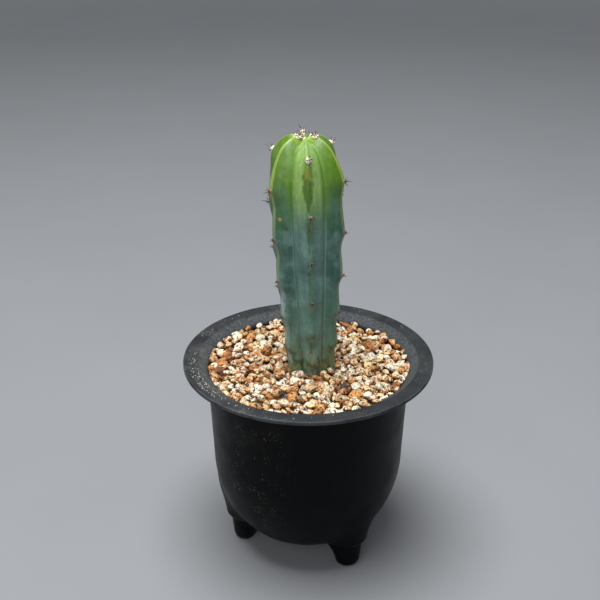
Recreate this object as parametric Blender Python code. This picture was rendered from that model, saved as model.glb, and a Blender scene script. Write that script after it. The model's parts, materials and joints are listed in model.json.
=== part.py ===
"""A tall six-ribbed column cactus in a black three-footed plastic pot, dressed with pumice.

Units are metres and +Z is up. The origin is on the ground, on the pot's own axis, and the front is -Y.
The plant stands in its fill, the fill lies in the pot, and nothing here is fastened or hinged.
"""

import math
import random

import bmesh
import bpy
from mathutils import Matrix, Vector

# Fits
CLEARANCE = 0.0003  # between any two pieces that touch

# Pot: a turned body with a flat flange, a rounded bowl below, and three hollow feet
POT_HEIGHT = 0.1025  # from the ground to the top of the flange
BODY_RADIUS = 0.0500  # outside, right under the flange
BODY_TAPER = 0.0034  # how much narrower the body is where the bowl begins
TAPER_SHARE = 0.62  # the part of the taper that runs straight; the rest curves out near the top
FLANGE_WIDTH = 0.0100  # how far the flange stands out from the body
FLANGE_THICKNESS = 0.0020
FLANGE_FLAT = 0.0067  # width of the flat ring on top
LIP_RUN = 0.0029  # the slope inside the flat ring runs in by this
LIP_DROP = 0.0026  # and down by this
LIP_BLEND = 0.0034  # height in which the slope turns into the inner wall
FLANGE_FILLET = 0.0050  # under the flange, which keeps the wall whole below the lip
WALL = 0.0018
BOWL_DEPTH = 0.0380  # from the underside of the pot up to the straight part
BOWL_FLAT_RADIUS = 0.0220  # centre of the bowl's rounding
BOWL_POWER = 1.8  # 2 is an ellipse, less is leaner
BOWL_CUT = 0.95  # share of the rounding above the flat underside
SLOPE_STEP = 0.0005  # height over which the wall's slope is taken
DRAIN_RADIUS = 0.0120
POT_SIDES = 48

# Feet
FOOT_COUNT = 3
FIRST_FOOT_ANGLE = math.radians(38.0)  # from the front towards +X
FOOT_INSET = 0.0148  # a foot's axis, in from the bowl's widest radius
FOOT_HEIGHT = 0.0120  # the pot's underside above the ground
BULGE_TOP_RADIUS = 0.0132  # where a foot runs out of the bowl
BULGE_RADIUS = 0.0101  # above its rounded lower edge
BULGE_EDGE = 0.0017  # width of that rounding
BULGE_ROUNDING = 0.0042  # and its height
BULGE_MERGE = 0.0120  # below the bowl's widest radius, where the bulge is widest
NECK_HEIGHT = 0.0142  # the crease under the bulge
NECK_RADIUS = 0.0076
TIP_RADIUS = 0.0064  # just above the ground
TIP_EDGE = 0.0030  # rounding of the tip
FOOT_FLARE = 0.0042  # how far its inner side runs out into the pot's underside
FLARE_POWER = 2.5
FOOT_SIDES = 24

# Net over the drain hole, a square cut from a sheet
NET_THICKNESS = 0.0010
NET_BAR = 0.0018
NET_HOLE = 0.0042
NET_HOLES = 5  # in each direction

# Fill
FILL_DROP = 0.0040  # the dressing's surface below the top of the flange
DRESSING_DEPTH = 0.0090
STONE_PROUD = 0.0018  # how far the loose top stones reach above the solid bed

# Stem
STEM_HEIGHT = 0.1142  # from the dressing's surface to the rib tops
STEM_BURIED = 0.0220
BUTT_SHARE = 0.35  # the part of it that is rounded off
STEM_BASE_RADIUS = 0.0128  # to the rib crests
STEM_TOP_RADIUS = 0.0190
SWELL_HEIGHT = 0.0950  # where the stem reaches its full width
SWELL_POWER = 1.15
DOME_HEIGHT = 0.0256  # the rounded top part
DOME_POWER = 2.4
CROWN_DIP = 0.0034  # the growing point below the rib tops
CROWN_RADIUS = 0.0075  # how wide that hollow is
GROOVE_DROP = 0.7  # share of the dip that the grooves have lost at the top
STEM_X = 0.0014  # the stem stands this far to the side of the pot's axis
STEM_LEAN = 0.030  # and leans back over it by this much for each unit of height
RIBS = 6
RIB_TURN = math.radians(4.5)  # the front rib, from the front towards +X
GROOVE_RATIO = 0.76  # groove radius to crest radius
FACE_CURVE = 0.0003  # how far a rib's face bulges
FACE_SLANT = 0.6  # how far to the side it bulges, against outwards
NOTCH_DEPTH = 0.0013  # the step in the crest under each areole
NOTCH_SHARE = 0.12  # the part of the spacing that the step takes
STEM_RINGS = 25  # along the straight part
DOME_RINGS = 8
LAST_RING = 0.97  # how far over the top the last ring lies

# Areoles, from the lowest up each rib: start height, spacing against the common one, and how
# much further than that the newest one has moved on
AREOLES_PER_RIB = 6
AREOLE_SPACING = 0.0163
AREOLE_GROWTH = 1.125
RIB_AREOLES = (
    ("front", 0.0065, 0.965, 0.0),
    ("front_right", 0.0144, 1.03, -0.0030),
    ("back_right", 0.0075, 0.97, 0.0),
    ("back", 0.0120, 1.00, 0.0),
    ("back_left", 0.0042, 0.97, 0.0),
    ("front_left", 0.0133, 1.00, 0.0045),
)

# Spine clusters: woolly pad radius and height, and spine length, for three ages
PAD_SIDES = 6
PAD_TOP = 0.72  # its top radius to its foot radius
SPINE_RISE = 0.9  # how steeply the outer spines point away from the stem
CLUSTER_AGES = {
    "young": (0.0014, 0.0007, 0.0026),
    "grown": (0.0011, 0.0006, 0.0016),
    "old": (0.0008, 0.0004, 0.0006),
}
SPINE_WIDTH = 0.30  # of the face that a spine grows from

# Roots
ROOT_COUNT = 5
ROOT_LENGTH = 0.0300
ROOT_RADIUS = 0.0016
ROOT_TIP_RADIUS = 0.0005
ROOT_SPREAD = math.radians(52.0)  # from straight down, where it leaves the stem
ROOT_BEND = 0.7  # the part of that spread it has lost at its tip
ROOT_START = 0.85  # how deep it leaves the stem, against the stem's buried length
ROOT_INSET = 0.35  # how far out from the stem's axis, against the stem's radius
ROOT_SIDES = 6
ROOT_STEPS = 4

# Larger loose stones on the dressing: x, y, then length, width and height, and the kind
STONES = {
    "stone_white_big": (0.0304, 0.0051, 0.0071, 0.0064, 0.0052, "cream"),
    "stone_white_long": (0.0402, -0.0048, 0.0084, 0.0056, 0.0044, "cream"),
    "stone_white_front": (0.0222, -0.0222, 0.0056, 0.0048, 0.0040, "cream"),
    "stone_white_side": (0.0332, -0.0224, 0.0052, 0.0050, 0.0040, "cream"),
    "stone_white_low": (0.0276, -0.0302, 0.0054, 0.0048, 0.0038, "cream"),
    "stone_white_behind": (0.0222, 0.0171, 0.0054, 0.0046, 0.0038, "cream"),
    "stone_white_left": (-0.0242, 0.0257, 0.0058, 0.0048, 0.0040, "cream"),
    "stone_white_small": (-0.0193, -0.0228, 0.0046, 0.0040, 0.0034, "cream"),
    "stone_cream_front": (-0.0108, -0.0379, 0.0054, 0.0044, 0.0036, "cream"),
    "stone_tan_pitted": (0.0011, -0.0248, 0.0079, 0.0058, 0.0046, "cream"),
    "stone_ochre_left": (-0.0258, -0.0061, 0.0060, 0.0050, 0.0040, "ochre"),
    "stone_ochre_behind": (-0.0290, 0.0322, 0.0040, 0.0036, 0.0034, "ochre"),
    "stone_brown_edge": (-0.0424, -0.0078, 0.0062, 0.0048, 0.0038, "brown"),
    "stone_brown_foot": (-0.0118, -0.0150, 0.0048, 0.0040, 0.0034, "brown"),
    "stone_red_chip": (0.0062, -0.0178, 0.0084, 0.0048, 0.0018, "brown"),
    "stone_black": (-0.0121, -0.0285, 0.0040, 0.0034, 0.0028, "dark"),
}
STONE_POINTS = 15
STONE_ROUGHNESS = 0.16  # how uneven a stone is
STONE_SEED = 11

# Colour, roughness and metallic value of each finish
FINISHES = {
    "black_plastic": ((0.018, 0.019, 0.020), 0.45, 0.0),
    "net_plastic": ((0.030, 0.032, 0.030), 0.55, 0.0),
    "soil": ((0.050, 0.032, 0.020), 0.95, 0.0),
    "pumice": ((0.560, 0.400, 0.240), 0.90, 0.0),
    "cactus_skin": ((0.075, 0.150, 0.080), 0.50, 0.0),
    "spines": ((0.300, 0.180, 0.130), 0.70, 0.0),
    "cream": ((0.780, 0.700, 0.560), 0.90, 0.0),
    "ochre": ((0.620, 0.300, 0.090), 0.90, 0.0),
    "brown": ((0.240, 0.110, 0.055), 0.90, 0.0),
    "dark": ((0.030, 0.030, 0.032), 0.80, 0.0),
}

# Worked out from the sizes above
RIM_RADIUS = BODY_RADIUS + FLANGE_WIDTH
SHOULDER_RADIUS = BODY_RADIUS - BODY_TAPER
SHOULDER_HEIGHT = FOOT_HEIGHT + BOWL_DEPTH
FOOT_CIRCLE = SHOULDER_RADIUS - FOOT_INSET
POT_FLOOR = FOOT_HEIGHT + WALL
FILL_LEVEL = POT_HEIGHT - FILL_DROP
BED_TOP = FILL_LEVEL - STONE_PROUD
BED_BOTTOM = BED_TOP - DRESSING_DEPTH
SOIL_TOP = BED_BOTTOM - CLEARANCE
SOIL_BOTTOM = POT_FLOOR + CLEARANCE
NET_SIZE = NET_HOLES * NET_HOLE + (NET_HOLES + 1) * NET_BAR
NET_BOTTOM = POT_FLOOR + CLEARANCE
DOME_START = STEM_HEIGHT - DOME_HEIGHT


def clear_scene():
    for thing in list(bpy.data.objects):
        bpy.data.objects.remove(thing, do_unlink=True)


def finish(name):
    found = bpy.data.materials.get(name)
    if found:
        return found
    color, roughness, metallic = FINISHES[name]
    made = bpy.data.materials.new(name)
    made.use_nodes = True
    shader = made.node_tree.nodes["Principled BSDF"]
    shader.inputs["Base Color"].default_value = (*color, 1.0)
    shader.inputs["Roughness"].default_value = roughness
    shader.inputs["Metallic"].default_value = metallic
    made.diffuse_color = (*color, 1.0)
    return made


def to_mesh(name, shape, sharp_angle=35.0):
    """Closes a bmesh into a mesh whose faces point out and whose round parts are smooth."""
    bmesh.ops.recalc_face_normals(shape, faces=shape.faces)
    mesh = bpy.data.meshes.new(name)
    shape.to_mesh(mesh)
    shape.free()
    mesh.shade_smooth()
    mesh.set_sharp_from_angle(angle=math.radians(sharp_angle))
    return mesh


def add_piece(name, mesh, finish_name=None):
    piece = bpy.data.objects.new(name, mesh)
    bpy.context.scene.collection.objects.link(piece)
    if finish_name:
        mesh.materials.clear()
        mesh.materials.append(finish(finish_name))
    return piece


def add_guide(name, mesh):
    """A shape that only joins or cuts another one."""
    guide = add_piece(name, mesh)
    guide.hide_render = True
    guide.display_type = "WIRE"
    return guide


def boolean(piece, guide, operation):
    step = piece.modifiers.new(f"{operation.lower()}_{guide.name}", "BOOLEAN")
    step.operation = operation
    step.object = guide
    step.solver = "EXACT"


def turned(name, outline, sides):
    """Spins an outline of (radius, height) points, which starts and ends on the axis."""
    shape = bmesh.new()
    corners = [shape.verts.new((radius, 0.0, height)) for radius, height in outline]
    edges = [shape.edges.new(pair) for pair in zip(corners, corners[1:])]
    bmesh.ops.spin(
        shape,
        geom=corners + edges,
        cent=(0.0, 0.0, 0.0),
        axis=(0.0, 0.0, 1.0),
        angle=math.tau,
        steps=sides,
        use_merge=True,
    )
    bmesh.ops.remove_doubles(shape, verts=shape.verts, dist=1e-6)
    return to_mesh(name, shape)


def lofted(name, rings, start, end):
    """Joins rings of equal length with faces and closes both ends onto a point."""
    shape = bmesh.new()
    loops = [[shape.verts.new(point) for point in ring] for ring in rings]
    count = len(loops[0])
    for lower, upper in zip(loops, loops[1:]):
        for i in range(count):
            j = (i + 1) % count
            shape.faces.new((lower[i], lower[j], upper[j], upper[i]))
    for loop, tip in ((loops[0], start), (loops[-1], end)):
        middle = shape.verts.new(tip)
        for i in range(count):
            shape.faces.new((loop[i], loop[(i + 1) % count], middle))
    return to_mesh(name, shape, 60.0)


# ---------------------------------------------------------------- pot


def body_radius(height):
    """The pot body's outer radius: a lean rounding below the shoulder, a slight flare above."""
    if height < SHOULDER_HEIGHT:
        share = (SHOULDER_HEIGHT - height) / (BOWL_DEPTH / BOWL_CUT)
        share = min(share, BOWL_CUT)
        swell = (1.0 - share**BOWL_POWER) ** (1.0 / BOWL_POWER)
        return BOWL_FLAT_RADIUS + (SHOULDER_RADIUS - BOWL_FLAT_RADIUS) * swell
    share = (height - SHOULDER_HEIGHT) / (POT_HEIGHT - SHOULDER_HEIGHT)
    return SHOULDER_RADIUS + BODY_TAPER * (TAPER_SHARE * share + (1.0 - TAPER_SHARE) * share**4)


def inner_radius(height, gap=0.0):
    """The pot's inner radius, or that of something inside it with a gap all round."""
    rise = body_radius(height + SLOPE_STEP) - body_radius(height - SLOPE_STEP)
    slope = rise / (2.0 * SLOPE_STEP)
    return body_radius(height) - (WALL + gap) * math.hypot(1.0, slope)


def spaced(low, high, count, power=1.0):
    return [low + (high - low) * (i / (count - 1)) ** power for i in range(count)]


def wall_heights(low, high):
    """Heights along the pot's wall: close together round the bowl, wide above it."""
    bowl = spaced(low, SHOULDER_HEIGHT, 8, 1.5)
    return bowl + spaced(SHOULDER_HEIGHT, high, 5)[1:]


def inner_wall(gap=0.0):
    """The wall's inside below the lip, or the outline of a fill with a gap all round."""
    heights = wall_heights(POT_FLOOR, POT_HEIGHT - LIP_DROP - LIP_BLEND)
    return [(inner_radius(z, gap), z) for z in heights]


def fill_outline(low, high):
    """A layer of the fill between two heights, with the wall's own facets so the gap is even."""
    wall = inner_wall(CLEARANCE)
    wall.append((inner_radius(BED_TOP, CLEARANCE), max(BED_TOP, wall[-1][1] + CLEARANCE)))
    outline = []
    for (r0, z0), (r1, z1) in zip(wall, wall[1:]):
        for z in (max(z0, low), min(z1, high)):
            if z0 <= z <= z1 and max(z0, low) < min(z1, high):
                outline.append((r0 + (r1 - r0) * (z - z0) / (z1 - z0), z))
    return [(0.0, low)] + outline + [(0.0, high)]


def pot_outline():
    """The pot's outside, closed by a flat top that the cavity then opens."""
    underside = POT_HEIGHT - FLANGE_THICKNESS
    fillet_start = underside - FLANGE_FILLET
    outside = [(body_radius(z), z) for z in wall_heights(FOOT_HEIGHT, fillet_start)]
    side = outside[-1][0]
    fillet = []
    for turn in (30.0, 60.0, 90.0):
        angle = math.radians(turn)
        reach = side + FLANGE_FILLET * (1.0 - math.cos(angle))
        fillet.append((reach, fillet_start + FLANGE_FILLET * math.sin(angle)))
    flange = [(RIM_RADIUS, underside), (RIM_RADIUS, POT_HEIGHT)]
    return [(0.0, FOOT_HEIGHT)] + outside + fillet + flange + [(0.0, POT_HEIGHT)]


def cavity_outline():
    """The pot's inside, with its sloping lip run on past the top."""
    lip_radius = RIM_RADIUS - FLANGE_FLAT - LIP_RUN
    lip_height = POT_HEIGHT - LIP_DROP
    inside = inner_wall()
    lip = [(lip_radius, lip_height), (lip_radius + 2.0 * LIP_RUN, lip_height + 2.0 * LIP_DROP)]
    return [(0.0, POT_FLOOR)] + inside + lip + [(0.0, lip_height + 2.0 * LIP_DROP)]


def foot_outline(gap=0.0):
    """One foot, from its tip up to a top that ends inside the bowl."""
    neck = NECK_HEIGHT + gap
    outline = [
        (TIP_RADIUS - TIP_EDGE, gap),
        (TIP_RADIUS - TIP_EDGE * 0.3, TIP_EDGE * 0.3 + gap),
        (TIP_RADIUS, TIP_EDGE + gap),
        ((TIP_RADIUS + NECK_RADIUS) / 2.0, (TIP_EDGE + gap + neck) / 2.0),
        (NECK_RADIUS, neck),
        (BULGE_RADIUS - BULGE_EDGE, neck + BULGE_ROUNDING * 0.15),
        (BULGE_RADIUS - BULGE_EDGE * 0.3, neck + BULGE_ROUNDING * 0.5),
        (BULGE_RADIUS, neck + BULGE_ROUNDING),
        (BULGE_TOP_RADIUS, SHOULDER_HEIGHT - BULGE_MERGE),
        (BULGE_TOP_RADIUS, SHOULDER_HEIGHT - gap),
    ]
    outline = [(radius - gap, height) for radius, height in outline]
    return [(0.0, gap)] + outline + [(0.0, SHOULDER_HEIGHT - gap)]


def foot_places():
    for number in range(FOOT_COUNT):
        angle = FIRST_FOOT_ANGLE - math.tau * number / FOOT_COUNT
        yield Vector((FOOT_CIRCLE * math.sin(angle), -FOOT_CIRCLE * math.cos(angle), 0.0))


def flare_at(height):
    """Share of the flare: it grows up to the pot's underside and fades out inside the bowl."""
    if height < FOOT_HEIGHT:
        return (max(height, 0.0) / FOOT_HEIGHT) ** FLARE_POWER
    return max(1.0 - (height - FOOT_HEIGHT) / BOWL_DEPTH, 0.0)


def flare_inwards(mesh, gap):
    """Draws a foot out towards +X, the side that will face the pot's axis."""
    for vert in mesh.vertices:
        radius = math.hypot(vert.co.x, vert.co.y)
        if radius < TIP_EDGE:
            continue
        grow = 1.0 + FOOT_FLARE * max(vert.co.x / radius, 0.0) * flare_at(vert.co.z - gap) / radius
        vert.co.x *= grow
        vert.co.y *= grow


def with_feet(piece, name, gap, operation):
    mesh = turned(name, foot_outline(gap), FOOT_SIDES)
    flare_inwards(mesh, gap)
    for number, place in enumerate(foot_places()):
        guide = add_guide(f"{name}_{number + 1}", mesh)
        guide.location = place
        guide.rotation_euler.z = math.atan2(-place.y, -place.x)
        boolean(piece, guide, operation)


def make_pot():
    pot = add_piece("pot", turned("pot", pot_outline(), POT_SIDES), "black_plastic")
    with_feet(pot, "foot", 0.0, "UNION")
    boolean(pot, add_guide("cavity", turned("cavity", cavity_outline(), POT_SIDES)), "DIFFERENCE")
    with_feet(pot, "foot_cavity", WALL, "DIFFERENCE")
    drain = [(0.0, 0.0), (DRAIN_RADIUS, 0.0), (DRAIN_RADIUS, SHOULDER_HEIGHT), (0.0, SHOULDER_HEIGHT)]
    boolean(pot, add_guide("drain_hole", turned("drain_hole", drain, FOOT_SIDES)), "DIFFERENCE")


# ---------------------------------------------------------------- net


def make_net():
    """A square grid with its holes left out, then given its thickness."""
    lines = [-NET_SIZE / 2.0]
    for _ in range(NET_HOLES):
        lines.append(lines[-1] + NET_BAR)
        lines.append(lines[-1] + NET_HOLE)
    lines.append(lines[-1] + NET_BAR)
    shape = bmesh.new()
    grid = [[shape.verts.new((x, y, NET_BOTTOM)) for y in lines] for x in lines]
    for i in range(len(lines) - 1):
        for j in range(len(lines) - 1):
            if i % 2 and j % 2:
                continue
            shape.faces.new((grid[i][j], grid[i + 1][j], grid[i + 1][j + 1], grid[i][j + 1]))
    raised = bmesh.ops.extrude_face_region(shape, geom=shape.faces[:], use_keep_orig=True)["geom"]
    moved = [item for item in raised if isinstance(item, bmesh.types.BMVert)]
    bmesh.ops.translate(shape, verts=moved, vec=(0.0, 0.0, NET_THICKNESS))
    add_piece("drainage_net", to_mesh("drainage_net", shape), "net_plastic")


# ---------------------------------------------------------------- stem


def side_radius(height):
    """Crest radius of the stem's straight part, above or below the surface."""
    share = min(max(height / SWELL_HEIGHT, 0.0), 1.0)
    grown = math.sin(share * math.pi / 2.0) ** SWELL_POWER
    return STEM_BASE_RADIUS + (STEM_TOP_RADIUS - STEM_BASE_RADIUS) * grown


def dome_point(turn, ratio, top):
    """A point of the rounded top at a quarter turn's share: radius and height over the surface."""
    angle = turn * math.pi / 2.0
    start = side_radius(DOME_START)
    radius = start * ratio * max(math.cos(angle), 0.0) ** (2.0 / DOME_POWER)
    height = DOME_START + (top - DOME_START) * math.sin(angle) ** (2.0 / DOME_POWER)
    hollow = max(1.0 - radius / CROWN_RADIUS, 0.0) ** 2
    return radius, height - hollow * (top - (STEM_HEIGHT - CROWN_DIP))


def stem_axis(height):
    return Vector((STEM_X - STEM_LEAN * max(height, 0.0), 0.0, FILL_LEVEL + height))


def rib_direction(number):
    angle = RIB_TURN + math.tau * number / RIBS
    return Vector((math.sin(angle), -math.cos(angle), 0.0))


def crest_line():
    """The crest from the surface to the growing point, as fine (radius, height) points."""
    side = [(side_radius(h), h) for h in spaced(0.0, DOME_START, 60)]
    return side + [dome_point(t, 1.0, STEM_HEIGHT) for t in spaced(0.0, 1.0, 60)[1:]]


def areole_distances(start, stretch, advance):
    """Distances along the crest, from the lowest areole up, with one more beyond each end."""
    places = [start - AREOLE_SPACING]
    gap = AREOLE_SPACING * stretch
    place = start
    for _ in range(AREOLES_PER_RIB + 1):
        places.append(place)
        place += gap
        gap *= AREOLE_GROWTH
    places[AREOLES_PER_RIB] += advance
    return places


def along(line, distance):
    """The point at a distance along a line of (radius, height) points, and its outward normal."""
    walked = 0.0
    for (r0, h0), (r1, h1) in zip(line, line[1:]):
        piece = math.hypot(r1 - r0, h1 - h0)
        if walked + piece >= distance or (r1, h1) == line[-1]:
            share = min((distance - walked) / piece, 1.0)
            normal = ((h1 - h0) / piece, (r0 - r1) / piece)
            return (r0 + (r1 - r0) * share, h0 + (h1 - h0) * share), normal
        walked += piece


def notch(number, distance):
    """How far the crest of a rib steps in, at a distance along it."""
    places = areole_distances(*RIB_AREOLES[number][1:])
    for low, high in zip(places, places[1:]):
        if low <= distance < high:
            share = (distance - low) / (high - low)
            rise = min(share / (1.0 - NOTCH_SHARE), (1.0 - share) / NOTCH_SHARE)
            return NOTCH_DEPTH * rise
    return 0.0


def stem_ring(crest, groove, distance=0.0, fade=0.0):
    """One ring of the stem, from (radius, height) pairs: each rib's face, crest, face and groove."""
    ring = []
    for number in range(RIBS):
        out = rib_direction(number)
        across = Vector((-out.y, out.x, 0.0))
        peak = stem_axis(crest[1]) + out * (crest[0] - notch(number, distance) * fade)
        faces = []
        for side in (-1.0, 1.0):
            valley = Matrix.Rotation(side * math.pi / RIBS, 3, "Z") @ out * groove[0]
            valley += stem_axis(groove[1])
            bulge = (out + across * side * FACE_SLANT).normalized() * FACE_CURVE * fade
            faces.append((valley + peak) / 2.0 + bulge)
        ring += [faces[0], peak, faces[1], valley]
    return ring


def stem_rings():
    """All rings, from the buried butt up to the last one round the growing point."""
    rings = []
    butt = STEM_BURIED * BUTT_SHARE
    outline = []
    for turn in (25.0, 50.0, 75.0):
        angle = math.radians(turn)
        outline.append((STEM_BASE_RADIUS * math.sin(angle), butt * (1.0 - math.cos(angle)) - STEM_BURIED))
    outline += [(STEM_BASE_RADIUS, height) for height in spaced(butt - STEM_BURIED, 0.0, 3)[:-1]]
    for radius, height in outline:
        rings.append(stem_ring((radius, height), (radius * GROOVE_RATIO, height)))
    for height in spaced(0.0, DOME_START, STEM_RINGS):
        radius = side_radius(height)
        rings.append(stem_ring((radius, height), (radius * GROOVE_RATIO, height), height, 1.0))
    groove_top = STEM_HEIGHT - CROWN_DIP * GROOVE_DROP
    walked = DOME_START
    last = dome_point(0.0, 1.0, STEM_HEIGHT)
    for turn in spaced(0.0, LAST_RING, DOME_RINGS)[1:]:
        crest = dome_point(turn, 1.0, STEM_HEIGHT)
        walked += math.hypot(crest[0] - last[0], crest[1] - last[1])
        last = crest
        rings.append(stem_ring(crest, dome_point(turn, GROOVE_RATIO, groove_top), walked, 1.0 - turn))
    return rings


def root_rings(number, gap=0.0):
    """A root leaves the butt sideways and bends down as it thins."""
    angle = math.tau * (number + 0.5) / ROOT_COUNT
    outward = Vector((math.cos(angle), math.sin(angle), 0.0))
    point = stem_axis(-STEM_BURIED * ROOT_START) + outward * STEM_BASE_RADIUS * ROOT_INSET
    rings = []
    for step in range(ROOT_STEPS + 1):
        share = step / ROOT_STEPS
        tilt = ROOT_SPREAD * (1.0 - ROOT_BEND * share)
        run = outward * math.sin(tilt) - Vector((0.0, 0.0, math.cos(tilt)))
        radius = ROOT_RADIUS + (ROOT_TIP_RADIUS - ROOT_RADIUS) * share + gap
        side = run.cross(Vector((-outward.y, outward.x, 0.0))).normalized()
        other = run.cross(side)
        turns = [math.tau * i / ROOT_SIDES for i in range(ROOT_SIDES)]
        rings.append([point + side * math.cos(t) * radius + other * math.sin(t) * radius for t in turns])
        point = point + run * (ROOT_LENGTH / ROOT_STEPS)
    return rings


def root_mesh(name, number, gap=0.0):
    rings = root_rings(number, gap)
    ends = []
    for ring, neighbour in ((rings[0], rings[1]), (rings[-1], rings[-2])):
        middle = sum(ring, Vector()) / ROOT_SIDES
        inward = sum(neighbour, Vector()) / ROOT_SIDES
        ends.append(middle + (middle - inward).normalized() * (ROOT_TIP_RADIUS + gap))
    return lofted(name, rings, ends[0], ends[1])


def make_stem():
    butt = stem_axis(-STEM_BURIED)
    crown = stem_axis(STEM_HEIGHT - CROWN_DIP)
    stem = add_piece("cactus_stem", lofted("cactus_stem", stem_rings(), butt, crown), "cactus_skin")
    for number in range(ROOT_COUNT):
        name = f"root_{number + 1}"
        boolean(stem, add_guide(name, root_mesh(name, number)), "UNION")


# ---------------------------------------------------------------- spines


def cluster_mesh(age):
    """A woolly pad with one spine out of its middle and others from every second side."""
    pad, height, spine = CLUSTER_AGES[age]
    shape = bmesh.new()
    bmesh.ops.create_cone(
        shape,
        cap_ends=True,
        segments=PAD_SIDES,
        radius1=pad,
        radius2=pad * PAD_TOP,
        depth=height,
        matrix=Matrix.Translation((0.0, 0.0, height / 2.0)),
    )
    shape.normal_update()
    sides = [face for face in shape.faces if abs(face.normal.z) < 0.8]
    sides.sort(key=lambda face: math.atan2(face.normal.y, face.normal.x))
    top = max(shape.faces, key=lambda face: face.calc_center_median().z)
    for face, slope in [(top, 0.0)] + [(side, SPINE_RISE) for side in sides[::2]]:
        width = math.sqrt(face.calc_area()) * (1.0 - SPINE_WIDTH) / 2.0
        bmesh.ops.inset_individual(shape, faces=[face], thickness=width)
        direction = (face.normal + Vector((0.0, 0.0, slope))).normalized()
        tip = face.calc_center_median() + direction * spine
        bmesh.ops.poke(shape, faces=[face])["verts"][0].co = tip
    return to_mesh(f"spines_{age}", shape, 25.0)


def age_of(number):
    """The top two areoles of a rib are young, the next two grown, and the lowest old."""
    if number >= AREOLES_PER_RIB - 2:
        return "young"
    return "grown" if number >= AREOLES_PER_RIB - 4 else "old"


def make_spines():
    meshes = {age: cluster_mesh(age) for age in CLUSTER_AGES}
    line = crest_line()
    for rib, (side, *spacing) in enumerate(RIB_AREOLES):
        out = rib_direction(rib)
        for number in range(AREOLES_PER_RIB):
            distance = areole_distances(*spacing)[number + 1]
            (radius, height), (reach, rise) = along(line, distance)
            normal = (out * reach + Vector((0.0, 0.0, rise))).normalized()
            across = Vector((-out.y, out.x, 0.0))
            upward = normal.cross(across)
            place = stem_axis(height) + out * radius + normal * CLEARANCE
            cluster = add_piece(f"spines_{side}_{number + 1}", meshes[age_of(number)], "spines")
            turn = Matrix((across, upward, normal)).transposed().to_4x4()
            cluster.matrix_world = Matrix.Translation(place) @ turn


# ---------------------------------------------------------------- fill


def socket_mesh(name, top):
    """Room for the buried part of the stem, open at the top."""
    rings = []
    radius = STEM_BASE_RADIUS + CLEARANCE
    for height in (-STEM_BURIED - CLEARANCE, top - FILL_LEVEL):
        middle = stem_axis(0.0) + Vector((0.0, 0.0, height))
        turns = [math.tau * i / FOOT_SIDES for i in range(FOOT_SIDES)]
        reach = radius / math.cos(math.pi / FOOT_SIDES)
        rings.append([middle + Vector((math.cos(t), math.sin(t), 0.0)) * reach for t in turns])
    ends = [sum(ring, Vector()) / FOOT_SIDES for ring in rings]
    return lofted(name, rings, ends[0], ends[1])


def make_soil():
    outline = fill_outline(SOIL_BOTTOM, SOIL_TOP)
    soil = add_piece("potting_soil", turned("potting_soil", outline, POT_SIDES), "soil")
    with_feet(soil, "foot_fill", WALL + CLEARANCE, "UNION")
    recess = bmesh.new()
    side = NET_SIZE + 2.0 * CLEARANCE
    size = Matrix.Diagonal((side, side, NET_THICKNESS + 2.0 * CLEARANCE, 1.0))
    middle = Matrix.Translation((0.0, 0.0, NET_BOTTOM + NET_THICKNESS / 2.0))
    bmesh.ops.create_cube(recess, size=1.0, matrix=middle @ size)
    boolean(soil, add_guide("net_recess", to_mesh("net_recess", recess)), "DIFFERENCE")
    socket = add_guide("stem_socket", socket_mesh("stem_socket", POT_HEIGHT))
    boolean(soil, socket, "DIFFERENCE")
    for number in range(ROOT_COUNT):
        name = f"root_channel_{number + 1}"
        boolean(soil, add_guide(name, root_mesh(name, number, CLEARANCE)), "DIFFERENCE")
    return socket


def make_dressing(socket):
    outline = fill_outline(BED_BOTTOM, BED_TOP)
    dressing = add_piece("pumice_layer", turned("pumice_layer", outline, POT_SIDES), "pumice")
    boolean(dressing, socket, "DIFFERENCE")


def make_stones():
    """Each larger stone is the hull of points scattered over a ball, laid on the bed."""
    chance = random.Random(STONE_SEED)
    for name, (x, y, length, width, height, kind) in STONES.items():
        shape = bmesh.new()
        for i in range(STONE_POINTS):
            z = 1.0 - 2.0 * (i + 0.5) / STONE_POINTS
            ring = math.sqrt(1.0 - z * z)
            angle = i * math.pi * (3.0 - math.sqrt(5.0))
            grow = 1.0 - STONE_ROUGHNESS * chance.random()
            point = Vector((math.cos(angle) * ring * length, math.sin(angle) * ring * width, z * height))
            shape.verts.new(point * grow * 0.5)
        hull = bmesh.ops.convex_hull(shape, input=shape.verts[:])
        inside = [item for item in hull["geom_interior"] if isinstance(item, bmesh.types.BMVert)]
        bmesh.ops.delete(shape, geom=inside, context="VERTS")
        lowest = min(vert.co.z for vert in shape.verts)
        stone = add_piece(name, to_mesh(name, shape, 20.0), kind)
        stone.location = (x, y, BED_TOP + CLEARANCE - lowest)


def main():
    clear_scene()
    make_pot()
    make_net()
    socket = make_soil()
    make_dressing(socket)
    make_stem()
    make_spines()
    make_stones()


main()
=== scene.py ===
import json
import math
import random

import bpy
import numpy as np
from mathutils import Matrix, Vector, noise


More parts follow.
